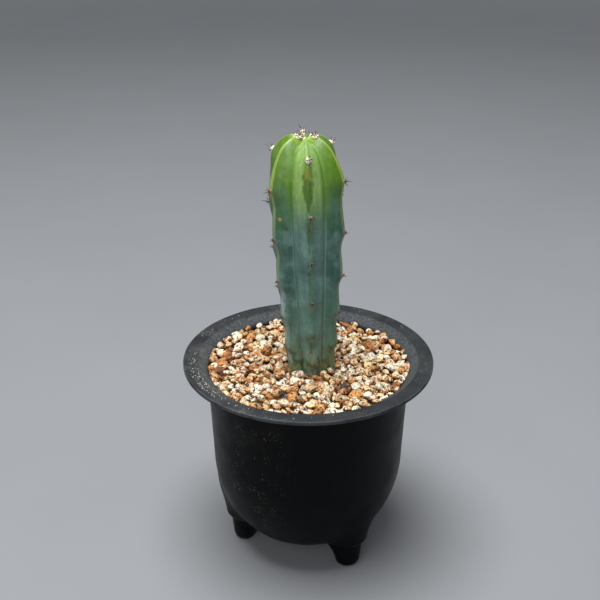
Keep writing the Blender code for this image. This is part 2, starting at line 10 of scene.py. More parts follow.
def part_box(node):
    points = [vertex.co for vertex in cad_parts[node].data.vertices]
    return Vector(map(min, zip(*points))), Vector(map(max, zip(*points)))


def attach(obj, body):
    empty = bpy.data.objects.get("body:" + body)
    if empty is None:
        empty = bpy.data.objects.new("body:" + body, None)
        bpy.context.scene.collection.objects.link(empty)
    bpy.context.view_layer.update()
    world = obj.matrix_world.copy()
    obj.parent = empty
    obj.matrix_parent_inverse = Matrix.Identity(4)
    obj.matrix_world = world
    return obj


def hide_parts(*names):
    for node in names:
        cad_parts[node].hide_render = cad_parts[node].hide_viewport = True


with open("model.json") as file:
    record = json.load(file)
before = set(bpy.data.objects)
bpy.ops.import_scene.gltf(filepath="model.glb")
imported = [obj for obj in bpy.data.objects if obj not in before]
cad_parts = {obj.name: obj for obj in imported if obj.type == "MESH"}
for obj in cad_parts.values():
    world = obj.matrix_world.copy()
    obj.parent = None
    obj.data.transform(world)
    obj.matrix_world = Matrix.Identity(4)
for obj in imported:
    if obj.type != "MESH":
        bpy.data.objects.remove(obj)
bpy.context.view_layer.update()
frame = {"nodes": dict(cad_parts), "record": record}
rideBody = "root"


# modelling helpers

def clearSelection():
    if bpy.context.object and bpy.context.object.mode != "OBJECT":
        bpy.ops.object.mode_set(mode="OBJECT")
    bpy.ops.object.select_all(action="DESELECT")


def makeActive(piece):
    clearSelection()
    piece.select_set(True)
    bpy.context.view_layer.objects.active = piece


def openMesh(piece):
    makeActive(piece)
    bpy.ops.object.mode_set(mode="EDIT")
    bpy.ops.mesh.select_all(action="SELECT")


def closeMesh():
    bpy.ops.object.mode_set(mode="OBJECT")


def applyPlace(piece):
    makeActive(piece)
    bpy.ops.object.transform_apply(location=True, rotation=True, scale=True)


def applyModifier(piece, kind, **settings):
    makeActive(piece)
    step = piece.modifiers.new(kind.lower(), kind)
    for name, value in settings.items():
        setattr(step, name, value)
    bpy.ops.object.modifier_apply(modifier=step.name)


def removePiece(piece):
    bpy.data.objects.remove(piece, do_unlink=True)


def linkPiece(piece):
    bpy.context.scene.collection.objects.link(piece)


def cutOrJoin(piece, other, operation):
    applyModifier(piece, "BOOLEAN", operation=operation, object=other, solver="EXACT")
    removePiece(other)


def smoothShade(piece, degrees=35.0):
    makeActive(piece)
    bpy.ops.object.shade_smooth_by_angle(angle=math.radians(degrees))


def faceOut(piece):
    openMesh(piece)
    bpy.ops.mesh.remove_doubles(threshold=1e-6)
    bpy.ops.mesh.normals_make_consistent(inside=False)
    closeMesh()


# an outline of (radius, height) rings: a disc is drawn out ring by ring, and each ring is resized
def turnOutline(name, outline, sides, centre=(0.0, 0.0)):
    clearSelection()
    radius, height = outline[0]
    place = (*centre, height)
    bpy.ops.mesh.primitive_circle_add(vertices=sides, radius=radius, fill_type="NGON", location=place)
    piece = bpy.context.object
    piece.name = name
    openMesh(piece)
    for nextRadius, nextHeight in outline[1:]:
        move = {"value": (0.0, 0.0, nextHeight - height)}
        bpy.ops.mesh.extrude_region_move(TRANSFORM_OT_translate=move)
        grow = nextRadius / radius
        bpy.ops.transform.resize(value=(grow, grow, 1.0), center_override=(*centre, nextHeight))
        radius, height = nextRadius, nextHeight
    bpy.ops.mesh.select_all(action="SELECT")
    bpy.ops.mesh.normals_make_consistent(inside=False)
    closeMesh()
    applyPlace(piece)
    return piece


def startBall(name, subdivisions):
    clearSelection()
    bpy.ops.mesh.primitive_ico_sphere_add(subdivisions=subdivisions, radius=1.0)
    ball = bpy.context.object
    ball.name = name
    return ball


def arcPoints(centre, radius, start, end, count):
    turns = [math.radians(start + (end - start) * i / (count - 1)) for i in range(count)]
    return [(centre[0] + radius * math.cos(t), centre[1] + radius * math.sin(t)) for t in turns]


def between(low, high, share):
    return low + (high - low) * share


def spaced(low, high, count, power=1.0):
    return [between(low, high, (i / (count - 1)) ** power) for i in range(count)]


def readPoints(piece):
    points = np.empty(len(piece.data.vertices) * 3)
    piece.data.vertices.foreach_get("co", points)
    return points.reshape(-1, 3)


def writePoints(piece, points):
    piece.data.vertices.foreach_set("co", points.astype(np.float32).ravel())
    piece.data.update()


def writeValue(piece, name, values):
    layer = piece.data.attributes.new(name, "FLOAT", "POINT")
    layer.data.foreach_set("value", np.asarray(values, np.float32).ravel())


def joinPieces(pieces, name):
    clearSelection()
    for piece in pieces:
        piece.select_set(True)
    bpy.context.view_layer.objects.active = pieces[0]
    bpy.ops.object.join()
    joined = bpy.context.object
    joined.name = name
    return joined


def copyPiece(piece, name, matrix):
    twin = piece.copy()
    twin.data = piece.data.copy()
    twin.name = name
    twin.data.transform(matrix)
    linkPiece(twin)
    return twin


def give(piece, slot, *materials):
    if materials:
        piece.data.materials.clear()
    for material in materials:
        piece.data.materials.append(material)
    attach(piece, rideBody)


# material helpers: colours are red, green and blue from 0 to 255

def tone(red, green, blue):
    linear = []
    for part in (red, green, blue):
        share = part / 255.0
        linear.append(share / 12.92 if share <= 0.04045 else ((share + 0.055) / 1.055) ** 2.4)
    return (*linear, 1.0)


def addNode(tree, kind, settings=None, **inputs):
    made = tree.nodes.new("ShaderNode" + kind)
    for name, value in (settings or {}).items():
        setattr(made, name, value)
    for name, value in inputs.items():
        feed(made.inputs[name], value)
    return made


# a node in the tree that the first linked value comes from
def addAfter(values, kind, settings=None, **inputs):
    tree = next(value.id_data for value in values if isinstance(value, bpy.types.NodeSocket))
    return addNode(tree, kind, settings, **inputs)


def feed(socket, value):
    if isinstance(value, bpy.types.NodeSocket):
        socket.id_data.links.new(value, socket)
    else:
        socket.default_value = value


def mixColor(factor, first, second, blend="MIX"):
    made = addAfter((factor, first, second), "Mix", {"data_type": "RGBA", "blend_type": blend})
    feed(made.inputs[0], factor)
    for socket, color in ((made.inputs[6], first), (made.inputs[7], second)):
        plain = isinstance(color, tuple) and len(color) == 3
        feed(socket, tone(*color) if plain else color)
    return made.outputs[2]


def calc(operation, *values, clamp=False):
    made = addAfter(values, "Math", {"operation": operation, "use_clamp": clamp})
    for socket, value in zip(made.inputs, values):
        feed(socket, value)
    return made.outputs[0]


def times(first, *others):
    for other in others:
        first = calc("MULTIPLY", first, other)
    return first


def timesPlus(first, second, third, clamp=False):
    return calc("MULTIPLY_ADD", first, second, third, clamp=clamp)


def fade(value, low, high, lowResult=0.0, highResult=1.0):
    made = addAfter([value], "MapRange", {"interpolation_type": "SMOOTHSTEP"})
    for socket, item in zip(made.inputs, (value, low, high, lowResult, highResult)):
        feed(socket, item)
    return made.outputs[0]


def ramp(value, stops, interpolation="LINEAR"):
    made = addAfter([value], "ValToRGB", Fac=value)
    made.color_ramp.interpolation = interpolation
    elements = made.color_ramp.elements
    while len(elements) < len(stops):
        elements.new(0.5)
    for element, (place, color) in zip(elements, stops):
        element.position = place
        element.color = tone(*color)
    return made.outputs["Color"]


def cloud(vector, scale, detail=3.0, rough=0.55):
    noiseInputs = {"Vector": vector, "Scale": scale, "Detail": detail, "Roughness": rough}
    return addAfter([vector], "TexNoise", **noiseInputs).outputs["Fac"]


def stretched(vector, *scale):
    return addAfter([vector], "Mapping", Vector=vector, Scale=scale).outputs["Vector"]


def vectorCalc(operation, *vectors):
    made = addAfter(vectors, "VectorMath", {"operation": operation})
    for socket, vector in zip(made.inputs, vectors):
        feed(socket, vector)
    return made.outputs["Value" if operation == "LENGTH" else "Vector"]


def objectPlaces(tree):
    return addNode(tree, "TexCoord").outputs["Object"]


def carried(tree, name):
    return addNode(tree, "Attribute", {"attribute_name": name}).outputs["Fac"]


def newMaterial(name):
    material = bpy.data.materials.new(name)
    material.use_nodes = True
    return material, material.node_tree


def finished(material, color, rough, height=None, distance=0.0, strength=1.0):
    tree = material.node_tree
    shader = tree.nodes["Principled BSDF"].inputs
    feed(shader["Base Color"], color)
    feed(shader["Roughness"], rough)
    if height is not None:
        bump = addNode(tree, "Bump", Height=height, Distance=distance, Strength=strength)
        feed(shader["Normal"], bump.outputs["Normal"])
    return material


# earth and grit: one noise gives the colour, the roughness and the bump
def grittyMaterial(name, look):
    material, tree = newMaterial(name)
    grit = cloud(objectPlaces(tree), *look["noise"])
    rough = fade(grit, 0.2, 0.8, *look["roughness"])
    return finished(material, ramp(grit, look["colors"]), rough, grit, *look["bump"])


def newGroup(name, inputs, outputs):
    tree = bpy.data.node_groups.new(name, "ShaderNodeTree")
    for label, kind, value in inputs:
        socket = tree.interface.new_socket(name=label, in_out="INPUT", socket_type="NodeSocket" + kind)
        if value is not None:
            socket.default_value = value
    for label, kind in outputs:
        tree.interface.new_socket(name=label, in_out="OUTPUT", socket_type="NodeSocket" + kind)
    return tree, tree.nodes.new("NodeGroupInput").outputs, tree.nodes.new("NodeGroupOutput").inputs


def useGroup(tree, group, **inputs):
    made = tree.nodes.new("ShaderNodeGroup")
    made.node_tree = group
    for name, value in inputs.items():
        feed(made.inputs[name], value)
    return made.outputs


# camera, light and floor

viewSettings = {
    "cameraPlace": (0.0, -0.4456, 0.3436),
    "tiltDegrees": 64.632,
    "turnDegrees": 0.505,
    "lens": 63.0,
    "floorSize": 60.0,
    "floorTone": (131, 133, 136),
    "floorShade": 0.9,
    "floorRoughness": 0.85,
    "farTone": (224, 228, 231),
    "farGlow": (58, 60, 62),
    "farFrom": 1.2,
    "farFull": 3.5,
    "lightTarget": (0.0, 0.0, 0.1),
    "keyPlace": (-0.12, -0.08, 1.30),
    "keySize": 0.85,
    "keyPower": 27.0,
    "fillPlace": (-0.25, -1.30, 0.85),
    "fillSize": 0.9,
    "fillPower": 8.0,
    "worldTone": (214, 220, 226),
    "worldStrength": 0.34,
}


def addSoftLight(name, place, size, power):
    lamp = bpy.data.lights.new(name, "AREA")
    lamp.shape = "DISK"
    lamp.size = size
    lamp.energy = power
    light = bpy.data.objects.new(name, lamp)
    light.location = place
    aim = Vector(viewSettings["lightTarget"]) - light.location
    light.rotation_euler = aim.to_track_quat("-Z", "Y").to_euler()
    linkPiece(light)


def setStage():
    view = viewSettings
    camera = bpy.data.objects.new("camera", bpy.data.cameras.new("camera"))
    camera.location = view["cameraPlace"]
    camera.rotation_euler = (math.radians(view["tiltDegrees"]), 0.0, math.radians(view["turnDegrees"]))
    camera.data.lens = view["lens"]
    camera.data.clip_start = 0.01
    linkPiece(camera)
    bpy.context.scene.camera = camera
    for name in ("key", "fill"):
        addSoftLight(name + "Light", view[name + "Place"], view[name + "Size"], view[name + "Power"])
    world = bpy.data.worlds.new("studio")
    world.use_nodes = True
    sky = world.node_tree.nodes["Background"]
    sky.inputs["Color"].default_value = tone(*view["worldTone"])
    sky.inputs["Strength"].default_value = view["worldStrength"]
    bpy.context.scene.world = world
    bpy.context.scene.view_settings.view_transform = "Standard"
    clearSelection()
    bpy.ops.mesh.primitive_plane_add(size=view["floorSize"], location=(0.0, 0.0, 0.0))
    floor = bpy.context.object
    floor.name = "floor"
    floor.data.materials.append(floorMaterial())
    print("stage set")


def floorMaterial():
    view = viewSettings
    material, tree = newMaterial("paleFloor")
    shader = tree.nodes["Principled BSDF"].inputs
    place = objectPlaces(tree)
    pale = tone(*view["floorTone"])
    shade = tuple(part * view["floorShade"] for part in pale[:3]) + (1.0,)
    near = mixColor(cloud(place, 9.0, 4.0), pale, shade)
    # the lamps do not reach the far floor, so it glows a little
    far = fade(vectorCalc("LENGTH", place), view["farFrom"], view["farFull"])
    feed(shader["Emission Color"], mixColor(far, (0, 0, 0), view["farGlow"]))
    feed(shader["Emission Strength"], 1.0)
    return finished(material, mixColor(far, near, view["farTone"]), view["floorRoughness"])


# porous stone: colour with stains and painted shade in the pits, a pit mask and a height for bump
def porousGroup():
    tree, given, out = newGroup(
        "porousStone",
        [
            ("Vector", "Vector", None),
            ("Color", "Color", (0.7, 0.6, 0.45, 1.0)),
            ("Stain", "Color", (0.5, 0.22, 0.06, 1.0)),
            ("Stain Amount", "Float", 0.5),
            ("Pit Scale", "Float", 900.0),
            ("Pit Shade", "Float", 0.5),
        ],
        [("Color", "Color"), ("Pits", "Float"), ("Height", "Float")],
    )
    place = given["Vector"]
    blotch = cloud(place, 520.0, 3.0, 0.6)
    edge = calc("SUBTRACT", 0.78, times(given["Stain Amount"], 0.5))
    stain = fade(blotch, edge, calc("ADD", edge, 0.10))
    pits = fade(cloud(place, given["Pit Scale"], 3.0, 0.62), 0.385, 0.445, 1.0, 0.0)
    crumbs = cloud(place, 1500.0, 3.0, 0.75)
    stained = mixColor(times(stain, 0.85), given["Color"], given["Stain"])
    light = fade(crumbs, 0.30, 0.70, 0.42, 1.15)
    bright = mixColor(1.0, stained, light, "MULTIPLY")
    # painted shade: the pits are darkened towards dark brown, as shade in the pores
    pitShade = times(pits, given["Pit Shade"])
    feed(out["Color"], mixColor(pitShade, bright, (46, 30, 18)))
    feed(out["Pits"], pits)
    rise = timesPlus(crumbs, 0.45, blotch)
    feed(out["Height"], calc("SUBTRACT", rise, times(pits, 0.9)))
    return tree


# dust: loose specks over a soft film, thicker where the film noise is high
def dustGroup():
    tree, given, out = newGroup(
        "dust",
        [
            ("Vector", "Vector", None),
            ("Film", "Float", 0.2),
            ("Speck Scale", "Float", 700.0),
            ("Specks", "Float", 0.3),
        ],
        [("Mask", "Float"), ("Height", "Float")],
    )
    place = given["Vector"]
    film = fade(cloud(place, 70.0, 5.0, 0.65), 0.42, 0.78)
    cells = addNode(tree, "TexVoronoi", Vector=place, Scale=given["Speck Scale"]).outputs["Distance"]
    dots = fade(cells, 0.08, 0.28, 1.0, 0.0)
    keep = fade(cloud(place, 160.0, 2.0), 0.50, 0.62)
    specks = times(dots, keep, given["Specks"])
    mask = timesPlus(film, given["Film"], specks, clamp=True)
    feed(out["Mask"], mask)
    feed(out["Height"], specks)
    return tree


# fine growth or draw lines along Z
def streakGroup():
    tree, given, out = newGroup(
        "streaks",
        [("Vector", "Vector", None), ("Width Scale", "Float", 500.0), ("Length Scale", "Float", 25.0)],
        [("Mask", "Float")],
    )
    wide = given["Width Scale"]
    scale = addNode(tree, "CombineXYZ", X=wide, Y=wide, Z=given["Length Scale"])
    place = vectorCalc("MULTIPLY", given["Vector"], scale.outputs[0])
    feed(out["Mask"], cloud(place, 1.0, 4.0, 0.6))
    return tree


potLow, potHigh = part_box("pot")
potShape = {
    "sides": 144,
    "bodyRadius": 0.0500,
    "taper": 0.0034,
    "taperEven": 0.62,  # the rest of the taper comes near the top
    "flangeThickness": 0.0020,
    "flangeFlat": 0.0067,
    "lipRun": 0.0029,
    "lipDrop": 0.0026,
    "lipBlend": 0.0034,
    "fillet": 0.0050,
    "edgeRound": 0.00045,
    "wall": 0.0018,
    "bowlDepth": 0.0380,
    "bowlFlat": 0.0220,
    "bowlPower": 1.8,
    "bowlCut": 0.95,
    "underside": 0.0120,
    "drainRadius": 0.0120,
    "centre": 0.0020,
    "cutAbove": 0.0030,
    "cutWider": 0.0040,
    "lipCorner": 0.0010,
    "brimRound": ((0.80, 0.00052), (0.92, 0.00022), (1.0, 0.00006)),
    "brimStep": 0.0006,
}
footShape = {
    "sides": 72,
    "count": 3,
    "firstAngle": 38.0,
    "inset": 0.0148,
    "neckHeight": 0.0142,
    "neckRadius": 0.0076,
    "bulgeTop": 0.0132,
    "bulgeRadius": 0.0101,
    "bulgeEdge": 0.0017,
    "bulgeRounding": 0.0042,
    "bulgeMerge": 0.0120,
    "tipRadius": 0.0064,
    "tipEdge": 0.0030,
    "tipFlat": 0.0025,
    "seam": 0.0002,
    "flare": 0.0060,
    "tuck": 0.0022,
    "flarePower": 2.5,
    "flareFrom": 0.0030,
    "blend": 0.0042,
    "blendFrom": 0.006,
    "blendFull": 0.018,
    "blendReach": 0.026,
    "blendGap": 0.001,
    "neckGap": 0.0004,
    "softRounds": 6,
    "softStep": 0.00005,
    "softMove": 0.9,
}
potTop = potHigh.z
rimRadius = (potHigh.x - potLow.x) / 2.0
shoulderRadius = potShape["bodyRadius"] - potShape["taper"]
shoulderHeight = potShape["underside"] + potShape["bowlDepth"]
potFloor = potShape["underside"] + potShape["wall"]
footCircle = shoulderRadius - footShape["inset"]


def bodyRadiusAt(height):
    shape = potShape
    depth = shape["bowlDepth"] / shape["bowlCut"]
    share = np.clip((shoulderHeight - height) / depth, 0.0, shape["bowlCut"])
    swell = (1.0 - share ** shape["bowlPower"]) ** (1.0 / shape["bowlPower"])
    bowl = between(shape["bowlFlat"], shoulderRadius, swell)
    rise = np.clip((height - shoulderHeight) / (potTop - shoulderHeight), 0.0, 1.0)
    return bowl + shape["taper"] * between(rise**4, rise, shape["taperEven"])


def bodySlope(height, step):
    return (bodyRadiusAt(height + step) - bodyRadiusAt(height - step)) / (2.0 * step)


def innerRadiusAt(height, gap=0.0):
    return bodyRadiusAt(height) - (potShape["wall"] + gap) * np.hypot(1.0, bodySlope(height, 0.0005))


def potOutline():
    shape = potShape
    low, fillet, edge = shape["underside"], shape["fillet"], shape["edgeRound"]
    under = potTop - shape["flangeThickness"]
    filletStart = under - fillet
    outline = [(radius, low) for radius in spaced(shape["centre"], float(bodyRadiusAt(low)), 18)]
    heights = spaced(low, shoulderHeight, 30, 1.35) + spaced(shoulderHeight, filletStart, 20)[1:]
    outline += [(float(bodyRadiusAt(z)), z) for z in heights[1:]]
    outline += arcPoints((outline[-1][0] + fillet, filletStart), fillet, 180.0, 90.0, 7)[1:]
    outline += arcPoints((rimRadius - edge, under + edge), edge, -90.0, 0.0, 4)
    outline += arcPoints((rimRadius - edge, potTop - edge), edge, 0.0, 90.0, 4)
    return outline + [(shape["centre"], potTop)]


def cavityOutline():
    shape = potShape
    lipHeight = potTop - shape["lipDrop"]
    heights = spaced(potFloor, shoulderHeight, 16, 1.4)
    heights += spaced(shoulderHeight, lipHeight - shape["lipBlend"], 8)[1:]
    outline = [(shape["centre"], potFloor)] + [(float(innerRadiusAt(z)), z) for z in heights]
    start = Vector(outline[-1])
    cornerHeight = lipHeight - shape["lipCorner"]
    corner = Vector((float(innerRadiusAt(cornerHeight)), cornerHeight))
    end = Vector((rimRadius - shape["flangeFlat"] - shape["lipRun"], lipHeight))
    for share in (0.25, 0.5, 0.75, 1.0):  # the slope turns softly into the wall
        outline.append(tuple(start.lerp(corner, share).lerp(corner.lerp(end, share), share)))
    brim = Vector((rimRadius - shape["flangeFlat"], potTop))
    for share, drop in shape["brimRound"]:
        outline.append((end.lerp(brim, share).x, brim.y - drop))
    above = potTop + shape["cutAbove"]
    outline += [(brim.x + shape["brimStep"], potTop), (brim.x + shape["cutWider"], above)]
    return outline + [(shape["centre"], above)]


def footOutline(gap=0.0):
    shape = footShape
    neck, neckRadius = shape["neckHeight"] + gap, shape["neckRadius"]
    tip, edge = shape["tipRadius"], shape["tipEdge"]
    rings = [(tip - edge - shape["tipFlat"], gap), (tip - edge, gap)]
    for turn in spaced(0.3, 1.5, 4):
        rings.append((tip - edge * (1.0 - math.sin(turn)), gap + edge * (1.0 - math.cos(turn))))
    for share in spaced(0.15, 0.94, 8):
        rings.append((between(tip, neckRadius, share), between(edge + gap, neck, share)))
    rings.append((neckRadius, neck))
    low = shape["bulgeRadius"] - shape["bulgeEdge"]
    rings.append((low - shape["seam"], neck + shape["seam"]))
    for turn in spaced(0.12, 1.0, 7):
        angle = turn * math.pi / 2.0
        lift = neck + shape["bulgeRounding"] * (0.10 + 0.90 * (1.0 - math.cos(angle)))
        rings.append((low + shape["bulgeEdge"] * math.sin(angle), lift))
    start = rings[-1][1]
    merge = shoulderHeight - shape["bulgeMerge"]
    for share in spaced(0.05, 1.0, 18):
        rings.append((between(shape["bulgeRadius"], shape["bulgeTop"], share), between(start, merge, share)))
    rings.append((shape["bulgeTop"], shoulderHeight - gap))
    return [(radius - gap, height) for radius, height in rings]


# the foot is drawn out above and in at the tip on its +X side, which is then turned to the pot's axis
def flareFoot(foot, gap):
    points = readPoints(foot)
    radius = np.maximum(np.hypot(points[:, 0], points[:, 1]), 1e-6)
    height = points[:, 2] - gap
    below = np.clip(height / potShape["underside"], 0.0, 1.0) ** footShape["flarePower"]
    above = np.clip(1.0 - (height - potShape["underside"]) / potShape["bowlDepth"], 0.0, 1.0)
    inward = np.clip(points[:, 0] / radius, 0.0, 1.0) * (radius > footShape["flareFrom"])
    tuck = footShape["tuck"] * np.clip(1.0 - height / potShape["underside"], 0.0, 1.0) ** 2
    grow = 1.0 + inward * (footShape["flare"] * below * above - tuck) / radius
    points[:, :2] *= grow[:, None]
    writePoints(foot, points)


def makeFoot(name, gap, centre):
    foot = turnOutline(name, footOutline(gap), footShape["sides"])
    flareFoot(foot, gap)
    foot.rotation_euler = (0.0, 0.0, math.atan2(-centre[1], -centre[0]))
    foot.location = (*centre, 0.0)
    applyPlace(foot)
    return foot


def footCentres():
    for number in range(footShape["count"]):
        angle = math.radians(footShape["firstAngle"]) - math.tau * number / footShape["count"]
        yield footCircle * math.sin(angle), -footCircle * math.cos(angle)


# how far points lie outside the pot's outside if every foot ran into the bowl with a soft hollow
def blendedDistance(points, footRings):
    radius = np.hypot(points[:, 0], points[:, 1])
    height = points[:, 2]
    side = (radius - bodyRadiusAt(height)) / np.hypot(1.0, bodySlope(height, 0.0003))
    near = np.maximum(side, potShape["underside"] - height)
    below = shoulderHeight - height
    start, end = footShape["blendFrom"], footShape["blendFull"]
    blend = footShape["blend"] * np.clip((below - start) / (end - start), 0.0, 1.0) + 1e-5
    radii, heights = footRings
    for x, y in footCentres():
        away = np.hypot(points[:, 0] - x, points[:, 1] - y)
        foot = np.maximum(away - np.interp(height, heights, radii), -height)
        share = np.maximum(blend - np.abs(near - foot), 0.0) / blend
        near = np.minimum(near, foot) - share**2 * blend / 4.0
    return near


def softenFeet(pot):
    shape = footShape
    rings = np.array(footOutline())
    rising = np.arange(len(rings) - 1) * 1e-9
    footRings = (rings[1:, 0], np.maximum.accumulate(rings[1:, 1] + rising))
    points = readPoints(pot)
    reach = np.full(len(points), np.inf)
    for x, y in footCentres():
        reach = np.minimum(reach, np.hypot(points[:, 0] - x, points[:, 1] - y))
    loose = (reach < shape["blendReach"]) & (points[:, 2] < shoulderHeight - shape["blendGap"])
    footReach = shape["neckRadius"] + shape["flare"] + shape["blendGap"]
    loose &= ~((points[:, 2] < shape["neckHeight"] + shape["neckGap"]) & (reach < footReach))
    moved = points[loose]
    step = shape["softStep"]
    for _ in range(shape["softRounds"]):
        distance = blendedDistance(moved, footRings)
        slope = np.empty_like(moved)
        for axis in range(3):
            shift = np.zeros(3)
            shift[axis] = step
            ahead = blendedDistance(moved + shift, footRings)
            slope[:, axis] = (ahead - blendedDistance(moved - shift, footRings)) / (2.0 * step)
        length = np.maximum((slope**2).sum(1), 0.25)
        moved = moved - slope * (distance / length)[:, None] * shape["softMove"]
    points[loose] = moved
    writePoints(pot, points)


def makePot(dust, streaks):
    pot = turnOutline("potBody", potOutline(), potShape["sides"])
    for number, centre in enumerate(footCentres()):
        cutOrJoin(pot, makeFoot(f"foot{number}", 0.0, centre), "UNION")
    softenFeet(pot)
    cutOrJoin(pot, turnOutline("cavity", cavityOutline(), potShape["sides"]), "DIFFERENCE")
    for centre in footCentres():
        cutOrJoin(pot, makeFoot("hollow", potShape["wall"], centre), "DIFFERENCE")
    drain = [(potShape["drainRadius"], 0.0), (potShape["drainRadius"], shoulderHeight)]
    cutOrJoin(pot, turnOutline("drain", drain, 64), "DIFFERENCE")
    faceOut(pot)
    smoothShade(pot, 32.0)
    give(pot, "black_plastic", potMaterial(dust, streaks))
    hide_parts("pot")
    print("pot made", len(pot.data.polygons))


potLook = {
    "plastic": (6, 7, 8),
    "worn": (16, 17, 19),
    "flangeBloom": (58, 61, 64),
    # painted highlight colour for the flange's outer edge
    "edge": (84, 88, 91),
    # painted highlight colour for the sloping lip
    "lipHighlight": (112, 117, 119),
    "dustTone": (178, 174, 164),
    "roughness": 0.38,
    "ior": 1.17,
}


def potMaterial(dust, streaks):
    look = potLook
    material, tree = newMaterial("blackPlastic")
    place = objectPlaces(tree)
    parts = addNode(tree, "SeparateXYZ", Vector=place).outputs
    normal = addNode(tree, "NewGeometry").outputs["Normal"]
    facing = addNode(tree, "SeparateXYZ", Vector=normal).outputs["Z"]
    top = fade(parts["Z"], potTop - 0.006, potTop - 0.002)
    up = times(fade(facing, 0.35, 0.85), top)
    across = vectorCalc("LENGTH", stretched(place, 1.0, 1.0, 0.0))
    rings = calc("SINE", times(across, 7500.0))
    scuff = fade(useGroup(tree, streaks, Vector=place)["Mask"], 0.56, 0.80, 0.0, 0.35)
    base = mixColor(scuff, look["plastic"], look["worn"])
    haze = fade(cloud(place, 38.0, 5.0, 0.6), 0.25, 0.75, 0.36, 0.62)
    haze = timesPlus(rings, 0.03, haze)
    base = mixColor(times(up, haze), base, look["flangeBloom"])
    # painted highlight: a lighter ring along the flange's outer edge, broken up by noise, where the rounded
    # edge catches light
    edge = times(fade(across, rimRadius - 0.0005, rimRadius - 0.0002), top)
    broken = fade(cloud(place, 90.0, 3.0), 0.30, 0.60, 0.15, 0.55)
    base = mixColor(times(edge, broken), base, look["edge"])
    # painted highlight: the sloping lip inside the flange is painted light grey, broken up by streaky noise,
    # where it catches light from above
    lipStart = rimRadius - potShape["flangeFlat"]
    lip = times(fade(across, lipStart + 0.0002, lipStart - 0.0008), top)
    lipStreakNoise = cloud(stretched(place, 1.0, 1.0, 0.3), 1100.0, 5.0, 0.7)
    lipHighlightBreakup = fade(lipStreakNoise, 0.35, 0.70, 0.05, 0.45)
    base = mixColor(times(lip, lipHighlightBreakup), base, look["lipHighlight"])
    left = fade(timesPlus(parts["Y"], 0.4, parts["X"]), -0.020, -0.046)
    body = useGroup(tree, dust, Vector=place, **{"Film": 0.04, "Speck Scale": 980.0, "Specks": 0.9})
    flange = useGroup(tree, dust, Vector=place, **{"Film": 0.10, "Speck Scale": 1300.0, "Specks": 0.9})
    onFlange = times(flange["Mask"], up, fade(left, 0.0, 1.0, 0.35, 1.0))
    onBody = times(body["Mask"], fade(left, 0.0, 1.0, 0.04, 0.50))
    amount = calc("MAXIMUM", onFlange, onBody)
    color = mixColor(amount, base, look["dustTone"])
    grain = cloud(place, 1700.0, 3.0, 0.6)
    smooth, matt = look["roughness"] - 0.06, look["roughness"] + 0.08
    rough = fade(cloud(place, 55.0, 4.0), 0.3, 0.7, smooth, matt)
    dulled = calc("MAXIMUM", amount, times(up, 0.5))
    rough = timesPlus(dulled, 0.4, rough, clamp=True)
    turned = timesPlus(times(rings, up), 0.15, grain)
    rise = timesPlus(flange["Height"], 0.6, turned)
    tree.nodes["Principled BSDF"].inputs["IOR"].default_value = look["ior"]
    return finished(material, color, rough, rise, 0.00010, 0.5)


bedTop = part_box("pumice_layer")[1].z
stemShape = {
    "sides": 192,
    "rings": 260,
    "proud": 0.0018,
    "height": 0.1142,
    "buried": 0.0220,
    "buttShare": 0.35,
    "baseRadius": 0.0128,
    "topRadius": 0.0190,
    "swellHeight": 0.0950,
    "swellPower": 1.15,
    "domeHeight": 0.0256,
    "domePower": 2.4,
    "crownDip": 0.0034,
    "crownRadius": 0.0075,
    "grooveDip": 0.7,
    "side": 0.0014,
    "lean": 0.030,
    "ribs": 6,
    "ribTurn": 4.5,
    "groove": 0.76,
    "faceCurve": 0.0007,
    "crestRound": 4.6,
    "grooveCut": 0.0004,
    "grooveWidth": 0.05,
    "notch": 0.0015,
    "notchShare": 0.34,
    "firstSpace": 0.016,
    "lastSpace": 0.030,
    "seat": 0.00035,
    "seatReach": 0.0021,
    "seatDepth": 0.0006,
    "seatBelow": 0.012,
    "wobble": 0.00028,
    "wobbleScale": 70.0,
    "rippleScale": 260.0,
    "ripple": 0.4,
}
ribNames = ["front", "front_right", "back_right", "back", "back_left", "front_left"]
areolesPerRib = 6
fillLevel = bedTop + stemShape["proud"]


def tuftNode(rib, number):
    return f"spines_{ribNames[rib]}_{number + 1}"


def nodeCentre(node):
    low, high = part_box(node)
    return (low + high) / 2.0


def areoleHeights(rib):
    return [nodeCentre(tuftNode(rib, number)).z - fillLevel for number in range(areolesPerRib)]


# how far the leaning middle line of the stem lies from the pot's axis
def middleAt(height):
    return stemShape["side"] - stemShape["lean"] * height


def sideRadius(height):
    shape = stemShape
    share = np.clip(height / shape["swellHeight"], 0.0, 1.0)
    swell = np.sin(share * np.pi / 2.0) ** shape["swellPower"]
    return between(shape["baseRadius"], shape["topRadius"], swell)


